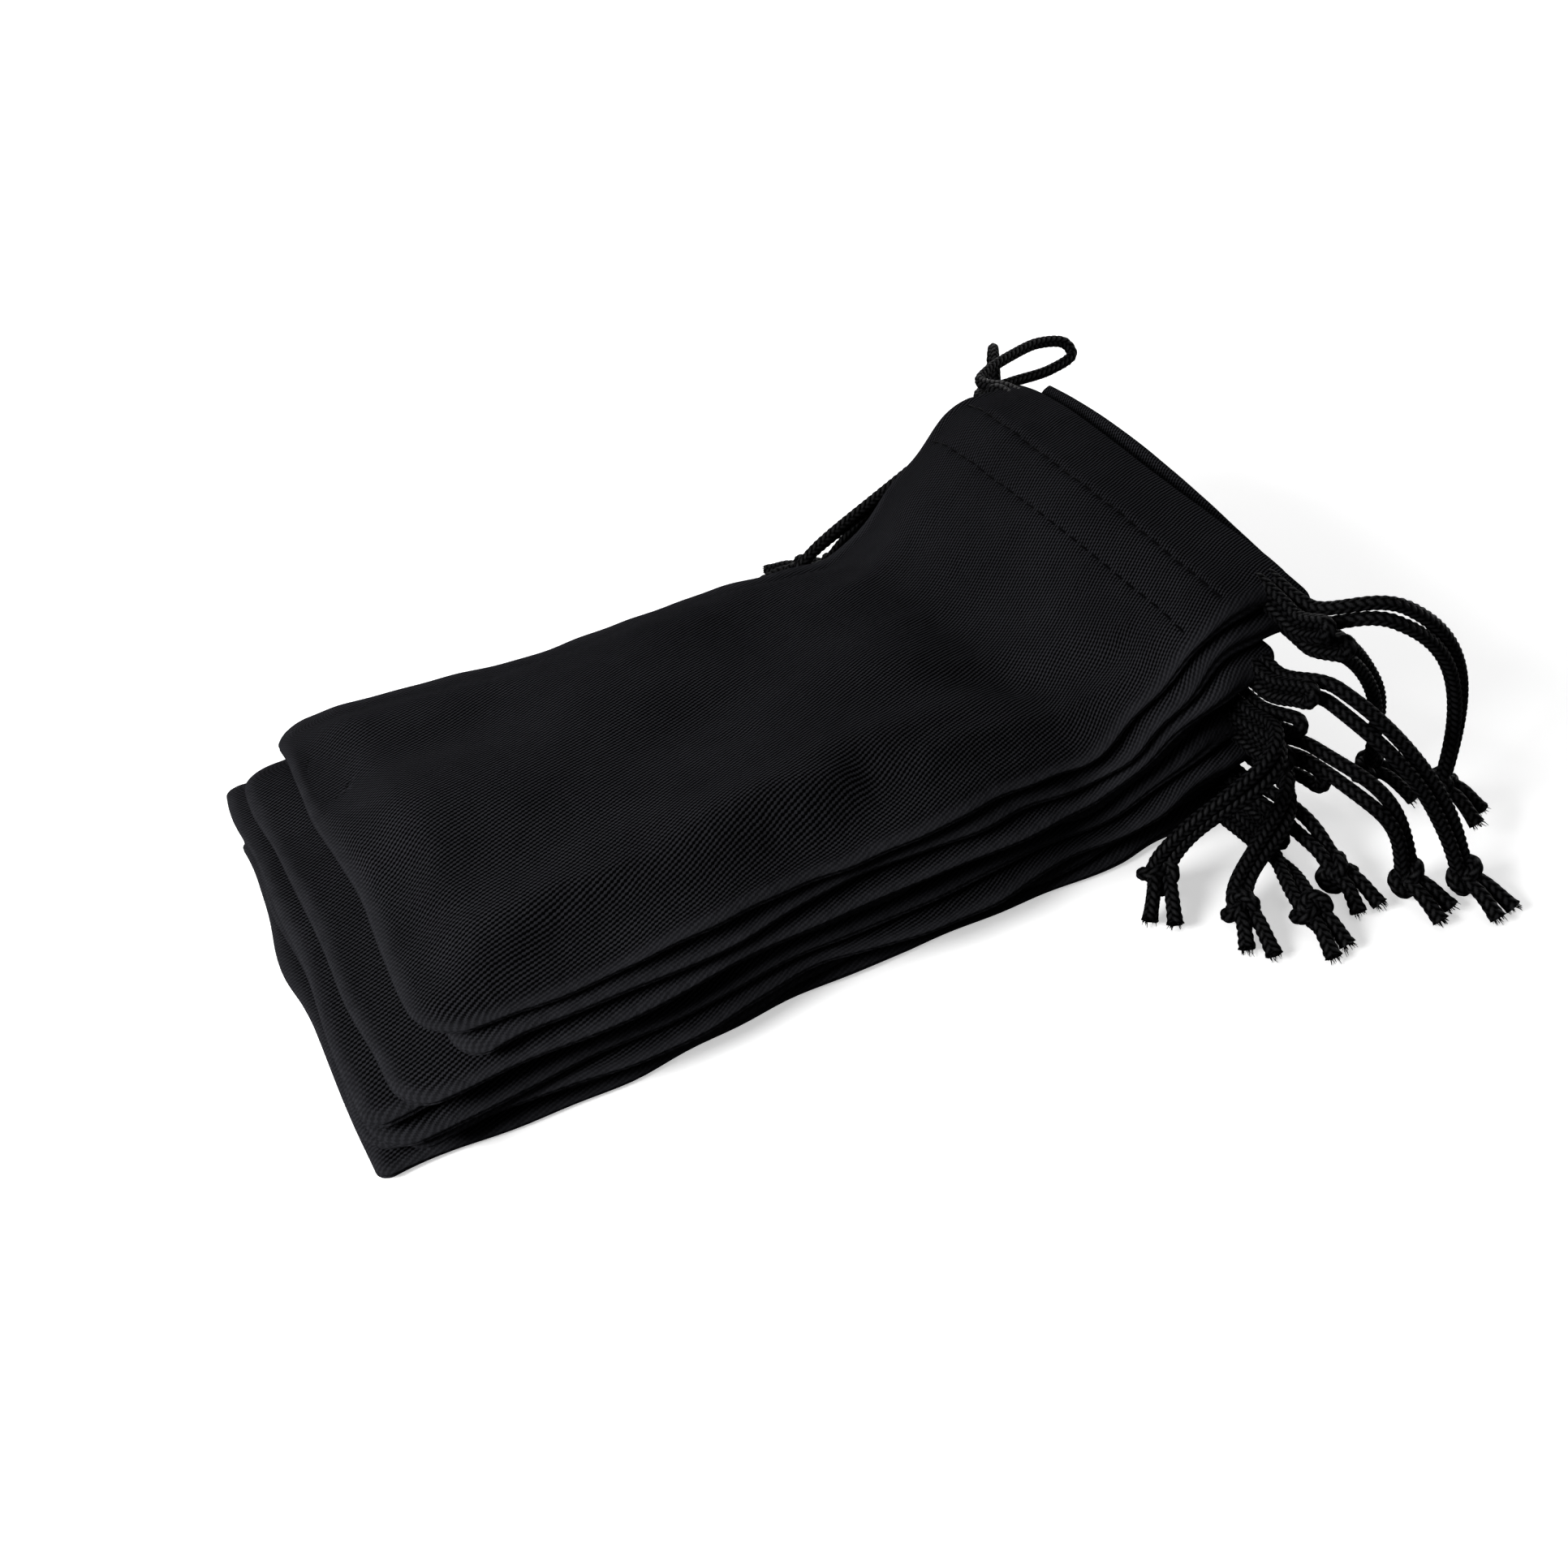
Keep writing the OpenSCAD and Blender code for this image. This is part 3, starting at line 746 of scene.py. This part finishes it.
def lay_down(pouch, face, direction):
    """put a face at its height in the stack and let its edges wander"""
    x, y, z = face[..., 0], face[..., 1], face[..., 2]
    z[...] = middle_height(pouch, np.minimum(x, MOUTH_X[pouch]), y) + direction * z
    y[...] = y + wander(pouch, x, y)
    y += SHIFT_Y[pouch]
    x += 1.1 * ripple(y, x * 0.1, 90 + pouch, 42) * fall(x, CLOSED_X[pouch], 30)
    return settle(face)


def ply(pouch, side, fine=False):
    """a ply as a closed shell. side: -1 near half or 1 far half of the upper
    ply, 0 the whole lower ply"""
    upper = side != 0
    closed, mouth = CLOSED_X[pouch], MOUTH_X[pouch]
    xs = stations_x(pouch, fine)
    half_ys = stations_y(fine)
    ys = side * half_ys if upper else np.concatenate([-half_ys, half_ys[::-1][1:]])
    middle = -1 if upper else len(ys) // 2
    rows = np.concatenate([xs, np.full(FOLD_RINGS, mouth - MOUTH_FOLD)])
    X, Y = np.meshgrid(rows, ys, indexing="ij")
    reach = np.abs(Y)
    # bend the end rows round the corners
    start_cut = corner_cut(reach, CORNER_RADIUS[pouch])
    mouth_cut = corner_cut(reach, MOUTH_CORNER_RADIUS)
    X = X + fall(X, closed, 16) * start_cut - ramp(X, mouth - 9, 7.5) * mouth_cut
    inset = inside(pouch, X, reach)
    high, low, rise = face_heights(pouch, X, Y, inset, upper)
    move_x, move_y = bulge(pouch, X, Y, rise)
    outer = np.stack([X + move_x, Y + move_y, high], -1)
    inner = np.stack([X, Y, low], -1)
    fold_mouth(outer, inner, X, len(xs) - 1)
    direction = 1 if upper else -1
    outer, inner = [lay_down(pouch, face, direction) for face in (outer, inner)]
    if pouch == 0:
        outer[..., 2] = np.maximum(outer[..., 2], 0.02)
    # texture coordinates in centimetres
    along = running_length(outer[:, middle, 0], outer[:, middle, 2])
    cross = len(xs) // 2
    across = running_length(outer[cross, :, 1], outer[cross, :, 2])
    across = (across - across[middle]) * (1 if side <= 0 else -1)
    U, V = np.meshgrid(along + 7.3 * pouch, across, indexing="ij")
    outer_uvs = np.stack([U, V], -1).reshape(-1, 2) * 0.1
    # outer grid, inner grid, and a strip round the rim
    count = X.size
    top = np.arange(count).reshape(X.shape)
    under = top + count
    rim = np.concatenate([top[:, 0], top[-1, 1:], top[::-1, -1][1:], top[0, ::-1][1:-1]])
    following = np.roll(rim, -1)
    faces = [grid_faces(top), grid_faces(under, True),
             np.stack([following, rim, rim + count, following + count], -1)]
    if side >= 0:
        faces = [quads[:, ::-1] for quads in faces]
    sharp = np.zeros(count * 2, bool)
    if upper:
        sharp[top[:, -1]] = True
        sharp[under[:, -1]] = True
    # the sewn edges and the mouth lip: where a highlight is painted on the cloth and its weave is
    # softened
    edge_highlight_mask = bell(np.minimum(inset, mouth + 0.5 - X), 1.3)
    return dict(verts=np.concatenate([outer.reshape(-1, 3), inner.reshape(-1, 3)]),
                faces=faces, material=FABRIC, sharp=sharp,
                uvs=np.concatenate([outer_uvs, outer_uvs + [0.3, 0.2]]),
                highlight_mask=np.concatenate([edge_highlight_mask.ravel(), np.zeros(count)]))


# ------------------------------------------------------------------ stitches
def stitch(start, middle, end, radius, flat, rings, around):
    """a thread bent towards middle; flat is its thickness over its width"""
    t = np.linspace(0, 1, rings)
    centre = (((1 - t) ** 2)[:, None] * start + (2 * t * (1 - t))[:, None] * middle
              + (t ** 2)[:, None] * end)
    tangent = np.gradient(centre, axis=0)
    tangent /= np.linalg.norm(tangent, axis=1)[:, None]
    sideways = np.cross(tangent, UP)
    sideways /= np.linalg.norm(sideways, axis=1)[:, None]
    normal = np.cross(sideways, tangent)
    size = (radius * np.sqrt(np.maximum(1 - (2 * t - 1) ** 6, 0.02)))[:, None, None]
    angle = np.linspace(0, 2 * math.pi, around, endpoint=False)
    return centre[:, None] + size * (np.cos(angle)[None, :, None] * sideways[:, None]
                                     + flat * np.sin(angle)[None, :, None] * normal[:, None])


def on_top(pouch, x, y):
    """a settled point on the upper ply"""
    own_y = y + (float(wander(pouch, x, y)) + SHIFT_Y[pouch])
    return settle_point(np.array([x, own_y, float(top_surface(pouch, x, y))]))


def hem_stitches(pouch, side):
    """both rows of stitches on one half of the hem"""
    blocks = []
    count = int((WIDTH - 4) / STITCH_PITCH) + 2
    for row in ROWS:
        x = MOUTH_X[pouch] - row
        for i in range(count):
            centre = (i - (count - 1) / 2) * STITCH_PITCH
            y0, y1 = centre - STITCH_LENGTH / 2, centre + STITCH_LENGTH / 2
            if (centre < 0) != (side < 0) or abs(y0) > 44.6 or abs(y1) > 44.6:
                continue
            sunk = 0.10 * UP
            blocks.append(stitch(on_top(pouch, x, y0) - sunk,
                                 on_top(pouch, x + 0.05, centre) + UP * 0.22,
                                 on_top(pouch, x, y1) - sunk,
                                 radius=0.33, flat=0.6, rings=7, around=6))
    return tubes(blocks)


def seam_stitches(pouch):
    """lock stitches showing in the crease of the side seams"""
    blocks = []
    starts = []
    extend(starts, CLOSED_X[pouch] + 9.0, MOUTH_X[pouch] - 12, 2.6)
    for side in (-1, 1):
        for start in starts:
            points = []
            for step in (0, 0.6, 1.2):
                x = start + step
                y = side * (HALF_WIDTH - 0.22)
                y += side * float(edge_shift(pouch, x, side)) + SHIFT_Y[pouch]
                z = float(middle_height(pouch, x, side * HALF_WIDTH))
                points.append(settle_point(np.array([x, y, z])))
            points[1][1] += side * 0.14
            blocks.append(stitch(*points, radius=0.10, flat=1.0, rings=5, around=5))
    return tubes(blocks)


# --------------------------------------------------------------------- cords
def lane(pouch, near):
    """x of a cord inside the hem, and whether it is the one by the mouth"""
    outer = near != (pouch in NEAR_CORD_INNER)
    return MOUTH_X[pouch] - (OUTER_LANE if outer else INNER_LANE), outer


def cord_base(pouch):
    return pouch * float(base_height(90))


def strands(pouch, near):
    """the two strands from the hem down to the knot, with the knot's place
    and its forward and sideways directions"""
    side = -1 if near else 1
    x, outer = lane(pouch, near)
    *knot, reach, drop, approach = (NEAR_KNOTS if near else FAR_KNOTS)[pouch]
    knot = np.array(knot, float)
    z = cord_base(pouch)
    edge = side * HALF_WIDTH + SHIFT_Y[pouch]
    leave = np.array([x, edge + side * 1.5, z + MIDDLE_STRAND])
    heading = unit((knot - leave)[:2])
    heading = unit(np.array([heading[0] * .35, heading[1]]))
    turn = -side if outer else side
    forward = np.array([heading[0], heading[1], 0])
    sideways = np.array([-heading[1] * turn, heading[0] * turn, 0])
    handle1 = leave + [0, side * reach, 0]
    handle2 = knot + [-heading[0] * approach, -heading[1] * approach, drop]
    if not near and pouch in FAR_SAG:
        handle1 = handle1 + [0, -2.0, -FAR_SAG[pouch]]
        handle2 = handle2 + [0, 0, -6.0]
    u = np.linspace(0, 1, 90)[:, None]
    centre = ((1 - u) ** 3 * leave + 3 * (1 - u) ** 2 * u * handle1
              + 3 * (1 - u) * u * u * handle2 + u ** 3 * knot)
    # one above the other in the hem, side by side at the knot
    w = smooth(1.15 * u)
    offset = (1 - w) * UP + w * sideways
    offset = (offset / np.linalg.norm(offset, axis=1)[:, None]
              * (STRAND_OFFSET + (KNOT_OFFSET - STRAND_OFFSET) * w))
    # the two strands weave past each other a little on the way down
    weave = 0.28 * np.sin(u * (5 + (pouch * 3) % 4) + pouch) * smooth(u * 4) * smooth((1 - u) * 4)
    across = np.cross(offset, np.gradient(centre, axis=0))
    across = across / np.linalg.norm(across, axis=1)[:, None]
    # inside the hem the upper strand dips into the lower ply, so that it stays
    # covered when the mouth opens
    deep = edge - side * HIDDEN_END
    halfway = edge - side * HIDDEN_END * .5
    low = z + LOW_STRAND
    upper = np.vstack([[[x, deep, low + 0.2], [x, halfway, z + HIGH_STRAND]],
                       centre + offset + across * weave])
    lower = np.vstack([[[x, deep, low], [x, halfway, low]], centre - offset - across * weave])
    return upper, lower, knot, forward, sideways


def loop(pouch, near):
    """the loop of a cord on the side opposite its knot"""
    side = -1 if near else 1
    x, outer = lane(pouch, near)
    pulled = near and pouch in PULLED_LOOPS
    if pulled:
        start = PULLED_START
        bend = PULLED_LOOPS[pouch]
    else:
        reach = (NEAR_CORD_LOOPS if near else FAR_CORD_LOOPS)[pouch]
        start = reach - 4
        bend = [(0, reach - STRAND_OFFSET * (1 - math.cos(angle)),
                 MIDDLE_STRAND + STRAND_OFFSET * math.sin(angle))
                for angle in np.radians([75, 45, 15, -15, -45, -75])]
    high, low = HIGH_STRAND, LOW_STRAND
    # columns as in PULLED_LOOPS
    table = np.array([
        (0, -HIDDEN_END, low + 0.2), (0, -HIDDEN_END * .5, high), (0, 0, high),
        (0, start, high), *bend, (0, start, low), (0, 0, low), (0, -HIDDEN_END, low)], float)
    edge = -side * HALF_WIDTH + SHIFT_Y[pouch]
    points = np.stack([x + table[:, 0], edge - side * table[:, 1],
                       cord_base(pouch) + table[:, 2]], 1)
    if not pulled:
        # plain loops droop and lean as they leave the hem
        out = np.clip(table[:, 1] / 14, 0, 2)
        lean = 1 if outer else -1
        points[:, 2] -= (1.2 + 0.5 * math.sin(pouch * 2.1 + near)) * out ** 2
        points[:, 0] += lean * 1.4 * (0.6 + 0.4 * math.cos(pouch * 1.7)) * out ** 2
    points[:, 2] = np.maximum(points[:, 2], 1.35)
    return points


def spline(points, step):
    """even-spaced points on a centripetal Catmull-Rom curve, and their
    distances along it"""
    points = np.asarray(points, float)
    padded = np.vstack([2 * points[0] - points[1], points, 2 * points[-1] - points[-2]])
    pieces = []
    for before, start, end, after in zip(padded, padded[1:], padded[2:], padded[3:]):
        count = max(2, int(np.linalg.norm(end - start) / (step * 0.5)))
        t = np.linspace(0, 1, count, endpoint=False)[:, None]
        gap0 = np.linalg.norm(start - before) ** .5
        gap1 = max(np.linalg.norm(end - start) ** .5, 1e-6)
        gap2 = np.linalg.norm(after - end) ** .5
        slope0 = end - start + gap1 * ((start - before) / max(gap0, 1e-6)
                                       - (end - before) / (gap0 + gap1))
        slope1 = end - start + gap1 * ((after - end) / max(gap2, 1e-6)
                                       - (after - start) / (gap1 + gap2))
        pieces.append((2 * t ** 3 - 3 * t ** 2 + 1) * start + (t ** 3 - 2 * t ** 2 + t) * slope0
                      + (-2 * t ** 3 + 3 * t ** 2) * end + (t ** 3 - t ** 2) * slope1)
    pieces.append(padded[-2][None])
    curve = np.vstack(pieces)
    lengths = np.linalg.norm(np.diff(curve, axis=0), axis=1)
    distance = np.concatenate([[0], np.cumsum(lengths)])
    even = np.linspace(0, distance[-1], max(4, int(distance[-1] / step)))
    return np.stack([np.interp(even, distance, curve[:, i]) for i in range(3)], 1), even


def cross_axes(centre):
    """two axes across a curve, carried along it without twist"""
    tangent = np.gradient(centre, axis=0)
    tangent /= np.linalg.norm(tangent, axis=1)[:, None]
    axis = unit(np.cross(tangent[0], [0.31, 0.12, 1.0]))
    first = np.empty_like(centre)
    for i in range(len(centre)):
        axis = unit(axis - axis.dot(tangent[i]) * tangent[i])
        first[i] = axis
    return first, np.cross(tangent, first)


def braid(centre, distance, radius=1.3, flared=False):
    """rings of a braided cord: two families of yarns crossing over and under
    each other. Gives the rings, distance, angle and how raised each point is."""
    around, yarns, lay = 30, 6, 1.45        # lay: length over which a yarn moves one place
    first, second = cross_axes(centre)
    angles = np.linspace(0, 2 * math.pi, around, endpoint=False)
    angle, along = np.meshgrid(angles, distance)
    place1 = yarns * angle / (2 * math.pi) + along / lay
    place2 = yarns * angle / (2 * math.pi) - along / lay
    yarn1, yarn2 = np.floor(place1), np.floor(place2)
    over1 = np.cos(math.pi / 2 * (yarn1 + place2 - 1))
    over2 = -np.cos(math.pi / 2 * (place1 + yarn2 - 1))
    height1 = 0.6 * np.cos(math.pi * (place1 - yarn1 - 0.5)) + 0.4 * over1
    height2 = 0.6 * np.cos(math.pi * (place2 - yarn2 - 0.5)) + 0.4 * over2
    height = np.maximum(height1, height2)
    size = radius * (0.82 + 0.24 * height)
    if flared:
        size = size * (1 + 0.22 * np.exp(-(distance[-1] - along) / 1.2))
    rings = centre[:, None] + size[..., None] * (np.cos(angle)[..., None] * first[:, None]
                                                 + np.sin(angle)[..., None] * second[:, None])
    return rings, along, angle, ramp(height, 0.3, 0.6)


def cord_mesh(curves, step):
    """curves: list of (points, options of braid)"""
    blocks, uvs, raised = [], [], []
    for points, options in curves:
        centre, distance = spline(points, step)
        rings, along, angle, height = braid(settle(centre), distance, **options)
        blocks.append(rings)
        # each tube ends with its two cap points
        uvs += [np.stack([along.ravel(), angle.ravel() / (2 * math.pi)], -1),
                np.array([[0, 0], [distance[-1], 0]])]
        raised += [height.ravel(), np.zeros(2)]
    verts, faces = tubes(blocks)
    return verts, faces, np.concatenate(uvs), np.concatenate(raised)


def fringe(end, forward, seed):
    """loose fibres at a cut end"""
    random = np.random.RandomState(seed)
    side1 = unit(np.cross(forward, UP))
    side2 = np.cross(forward, side1)
    angles = np.linspace(0, 2 * math.pi, 4, endpoint=False)
    radii = np.array([0.11, 0.10, 0.04])[:, None, None]     # root, middle, tip
    fibres = []
    for _ in range(16):
        turn = random.uniform(0, 2 * math.pi)
        spread = 0.95 * random.uniform(0.2, 1) ** .5
        outward = math.cos(turn) * side1 + math.sin(turn) * side2
        root = end + spread * outward
        lean = (forward * random.uniform(0.5, 1.1) + outward * random.uniform(0.1, 0.5)
                + random.normal(0, .12, 3))
        tip = root + lean * random.uniform(0.7, 1.5)
        root = root - forward * 0.5
        middle = (root + tip) / 2 + random.normal(0, 0.1, 3)
        tip[2] = max(tip[2], 0.12)
        middle[2] = max(middle[2], 0.15)
        run = tip - root
        across1 = unit(np.cross(run, [0.3, 0.5, 1.0]))
        across2 = np.cross(unit(run), across1)
        ring = np.cos(angles)[:, None] * across1 + np.sin(angles)[:, None] * across2
        fibres.append(np.stack([root, middle, tip])[:, None] + radii * ring[None])
    return fibres


def knot_curve(knot, forward, sideways, spin):
    """a closed trefoil, raised where it would dip into the floor"""
    t = np.linspace(0, 2 * math.pi, 60, endpoint=False)
    first = np.sin(t) + 2 * np.sin(2 * t)
    second = np.cos(t) - 2 * np.cos(2 * t)
    third = -np.sin(3 * t)
    cos, sin = math.cos(spin), math.sin(spin)
    curve = (knot + (first[:, None] * (sideways * cos + UP * sin)
                     + second[:, None] * (-sideways * sin + UP * cos))
             + 1.35 * third[:, None] * forward)
    low = curve[:, 2].min() - 1.3
    if low < 0.05:
        curve[:, 2] += 0.05 - low
    return np.vstack([curve, curve[:3]])


def build_cord(pouch, near):
    upper, lower, knot, forward, sideways = strands(pouch, near)
    curves = [(upper, {}), (lower, {}), (loop(pouch, near), {})]
    fibres = []
    random = np.random.RandomState(100 + 2 * pouch + near)
    # two cut ends beyond the knot
    for side in (1, -1):
        root = knot + side * KNOT_OFFSET * sideways - 1.2 * forward
        tip = (knot + (8.6 + random.uniform(-1.0, 1.6)) * forward
               + side * random.uniform(2.0, 3.0) * sideways)
        tip[2] = max(1.4, knot[2] - 3.4)
        bend = knot + 3.0 * forward + side * 1.5 * sideways + [0, 0, 0.2]
        curves.append((np.array([root, bend, tip]), dict(flared=True)))
        seed = 300 + 4 * pouch + 2 * near + (side > 0)
        fibres += fringe(settle_point(tip), unit(tip - bend), seed)
    spin = random.uniform(0, 2)
    curves.append((knot_curve(knot, forward, sideways, spin), dict(radius=1.25)))
    verts, faces, uvs, raised = cord_mesh(curves, step=0.25 if near else 0.3)
    fibre_verts, fibre_faces = tubes(fibres)
    count = len(fibre_verts)
    pouch_side = f"pouch_{COUNT - pouch}_{'near' if near else 'far'}"
    name = f"{pouch_side}_cord"
    # the yarn heights place the braid's painted highlight and shade; the loose fibres get a
    # middling painted highlight
    cord = make(name + "_braid", np.concatenate([verts, fibre_verts]),
                faces + [part + len(verts) for part in fibre_faces], CORD,
                uvs=np.concatenate([uvs, np.zeros((count, 2))]),
                highlight_mask=np.concatenate([raised, np.full(count, 0.7)]))
    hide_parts(name)
    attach(cord, pouch_side)


# --------------------------------------------------------------------- build
def build_back(pouch):
    """lower ply and side seams"""
    name = f"pouch_{COUNT - pouch}"
    cloth = make(f"{name}_back_ply", **ply(pouch, 0))
    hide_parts(f"{name}_back_panel")
    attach(cloth, f"{name}_back")
    thread = make(f"{name}_seam_thread", *seam_stitches(pouch), THREAD)
    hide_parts(f"{name}_seam_stitching")
    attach(thread, f"{name}_back")


def build_front(pouch, side, word):
    """one half of the upper ply and its hem stitches"""
    name = f"pouch_{COUNT - pouch}"
    cloth = make(f"{name}_front_ply_{word}", **ply(pouch, side, fine=pouch == TOP))
    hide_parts(f"{name}_front_panel")
    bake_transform(cloth)
    thread = make(f"{name}_hem_thread_{word}", *hem_stitches(pouch, side), THREAD)
    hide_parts(f"{name}_hem_stitching")
    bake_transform(thread)


for pouch in range(COUNT):
    build_back(pouch)
    build_front(pouch, -1, "near")
    build_front(pouch, 1, "far")
    build_cord(pouch, True)
    build_cord(pouch, False)


# ------------------------------------------------- floor, world, lights, camera
def aim(direction):
    return Vector(direction).to_track_quat("-Z", "Y").to_euler()


def build_floor():
    half = 30.0
    mesh = bpy.data.meshes.new("floor")
    corners = [(-half, -half, 0), (half, -half, 0), (half, half, 0), (-half, half, 0)]
    mesh.from_pydata(corners, [], [(0, 1, 2, 3)])
    floor = bpy.data.objects.new("floor", mesh)
    material, nodes, surface, output = new_material("pale floor")
    mottle = nodes.noise(None, scale=3.0, detail=2)
    # the camera sees it lit up to white, more so away from the stack; what it
    # throws back on to the cloth is kept low, as under a softbox
    place = nodes.add("NewGeometry").outputs["Position"]
    distance = nodes.add("VectorMath", {0: place}, operation="LENGTH").outputs["Value"]
    glow = nodes.soft_range(distance, from_min=0.25, from_max=0.90, to_min=0.5, to_max=1.1)
    nodes.fill(surface, {
        "Base Color": nodes.mix(mottle, (0.93, 0.93, 0.93), (0.95, 0.95, 0.95)),
        "Roughness": 0.9, "Specular IOR Level": 0.1,
        "Emission Color": (1, 1, 1), "Emission Strength": glow})
    dim = nodes.add("BsdfDiffuse", {0: (0.10, 0.10, 0.104)})
    seen = nodes.add("LightPath").outputs["Is Camera Ray"]
    both = nodes.add("MixShader", {0: seen, 1: dim.outputs[0], 2: surface.outputs[0]})
    nodes.fill(output, {0: both.outputs[0]})
    mesh.materials.append(material)
    bpy.context.scene.collection.objects.link(floor)


def build_world():
    """white to the camera; to everything else a faint glow from above and
    from the far side"""
    world = bpy.data.worlds.new("studio")
    world.use_nodes = True
    nodes = Nodes(world.node_tree)
    direction = nodes.add("TexCoord").outputs["Generated"]
    parts = nodes.add("SeparateXYZ", {0: direction}).outputs
    above = nodes.linear(nodes.math("MAXIMUM", parts[2], 0.0), 0.12, 0.006)
    behind = nodes.times(nodes.math("MAXIMUM", parts[1], 0.0), 0.06)
    glow = nodes.math("ADD", above, behind)
    seen = nodes.add("LightPath").outputs["Is Camera Ray"]
    strength = nodes.linear(seen, nodes.math("SUBTRACT", 1.0, glow), glow)
    nodes.fill(nodes.tree.nodes["Background"], {0: (1, 1, 1), 1: strength})
    bpy.context.scene.world = world


# columns: name, place, target, width and height in metres, watts
LIGHTS = [
    ("key", (-0.44, -0.06, 0.27), (-0.03, 0, 0.03), (0.20, 0.14), 3.4),
    ("top", (-0.05, 0.25, 1.0), (0, 0, 0.02), (0.8, 0.7), 1.0),
    ("rim", (0.45, 0.80, 0.40), (0, 0, 0.03), (0.9, 0.35), 4.0),
    ("mouths", (0.95, -0.05, 0.22), (0.10, 0, 0.025), (0.5, 0.25), 2.6),
    ("near", (0.10, -0.95, 0.16), (0, 0, 0.02), (0.6, 0.2), 0.10)]


def build_lights():
    for name, place, target, size, energy in LIGHTS:
        light = bpy.data.lights.new(name, "AREA")
        light.shape = "RECTANGLE"
        light.size, light.size_y = size
        light.energy = energy
        lamp = place_object(name, light)
        lamp.location = place
        lamp.rotation_euler = aim(Vector(target) - Vector(place))


def build_camera():
    data = bpy.data.cameras.new("camera")
    data.sensor_width = 36
    data.lens = 29.81
    data.clip_start = 0.01
    camera = place_object("camera", data)
    camera.location = (-0.09476, -0.17471, 0.16614)
    yaw, pitch = -0.53278, 0.66226          # radians; pitch is downwards
    camera.rotation_euler = aim((-math.sin(yaw) * math.cos(pitch),
                                 math.cos(yaw) * math.cos(pitch), -math.sin(pitch)))
    bpy.context.scene.camera = camera


build_floor()
build_world()
build_lights()
build_camera()
bpy.context.scene.view_settings.view_transform = "Standard"
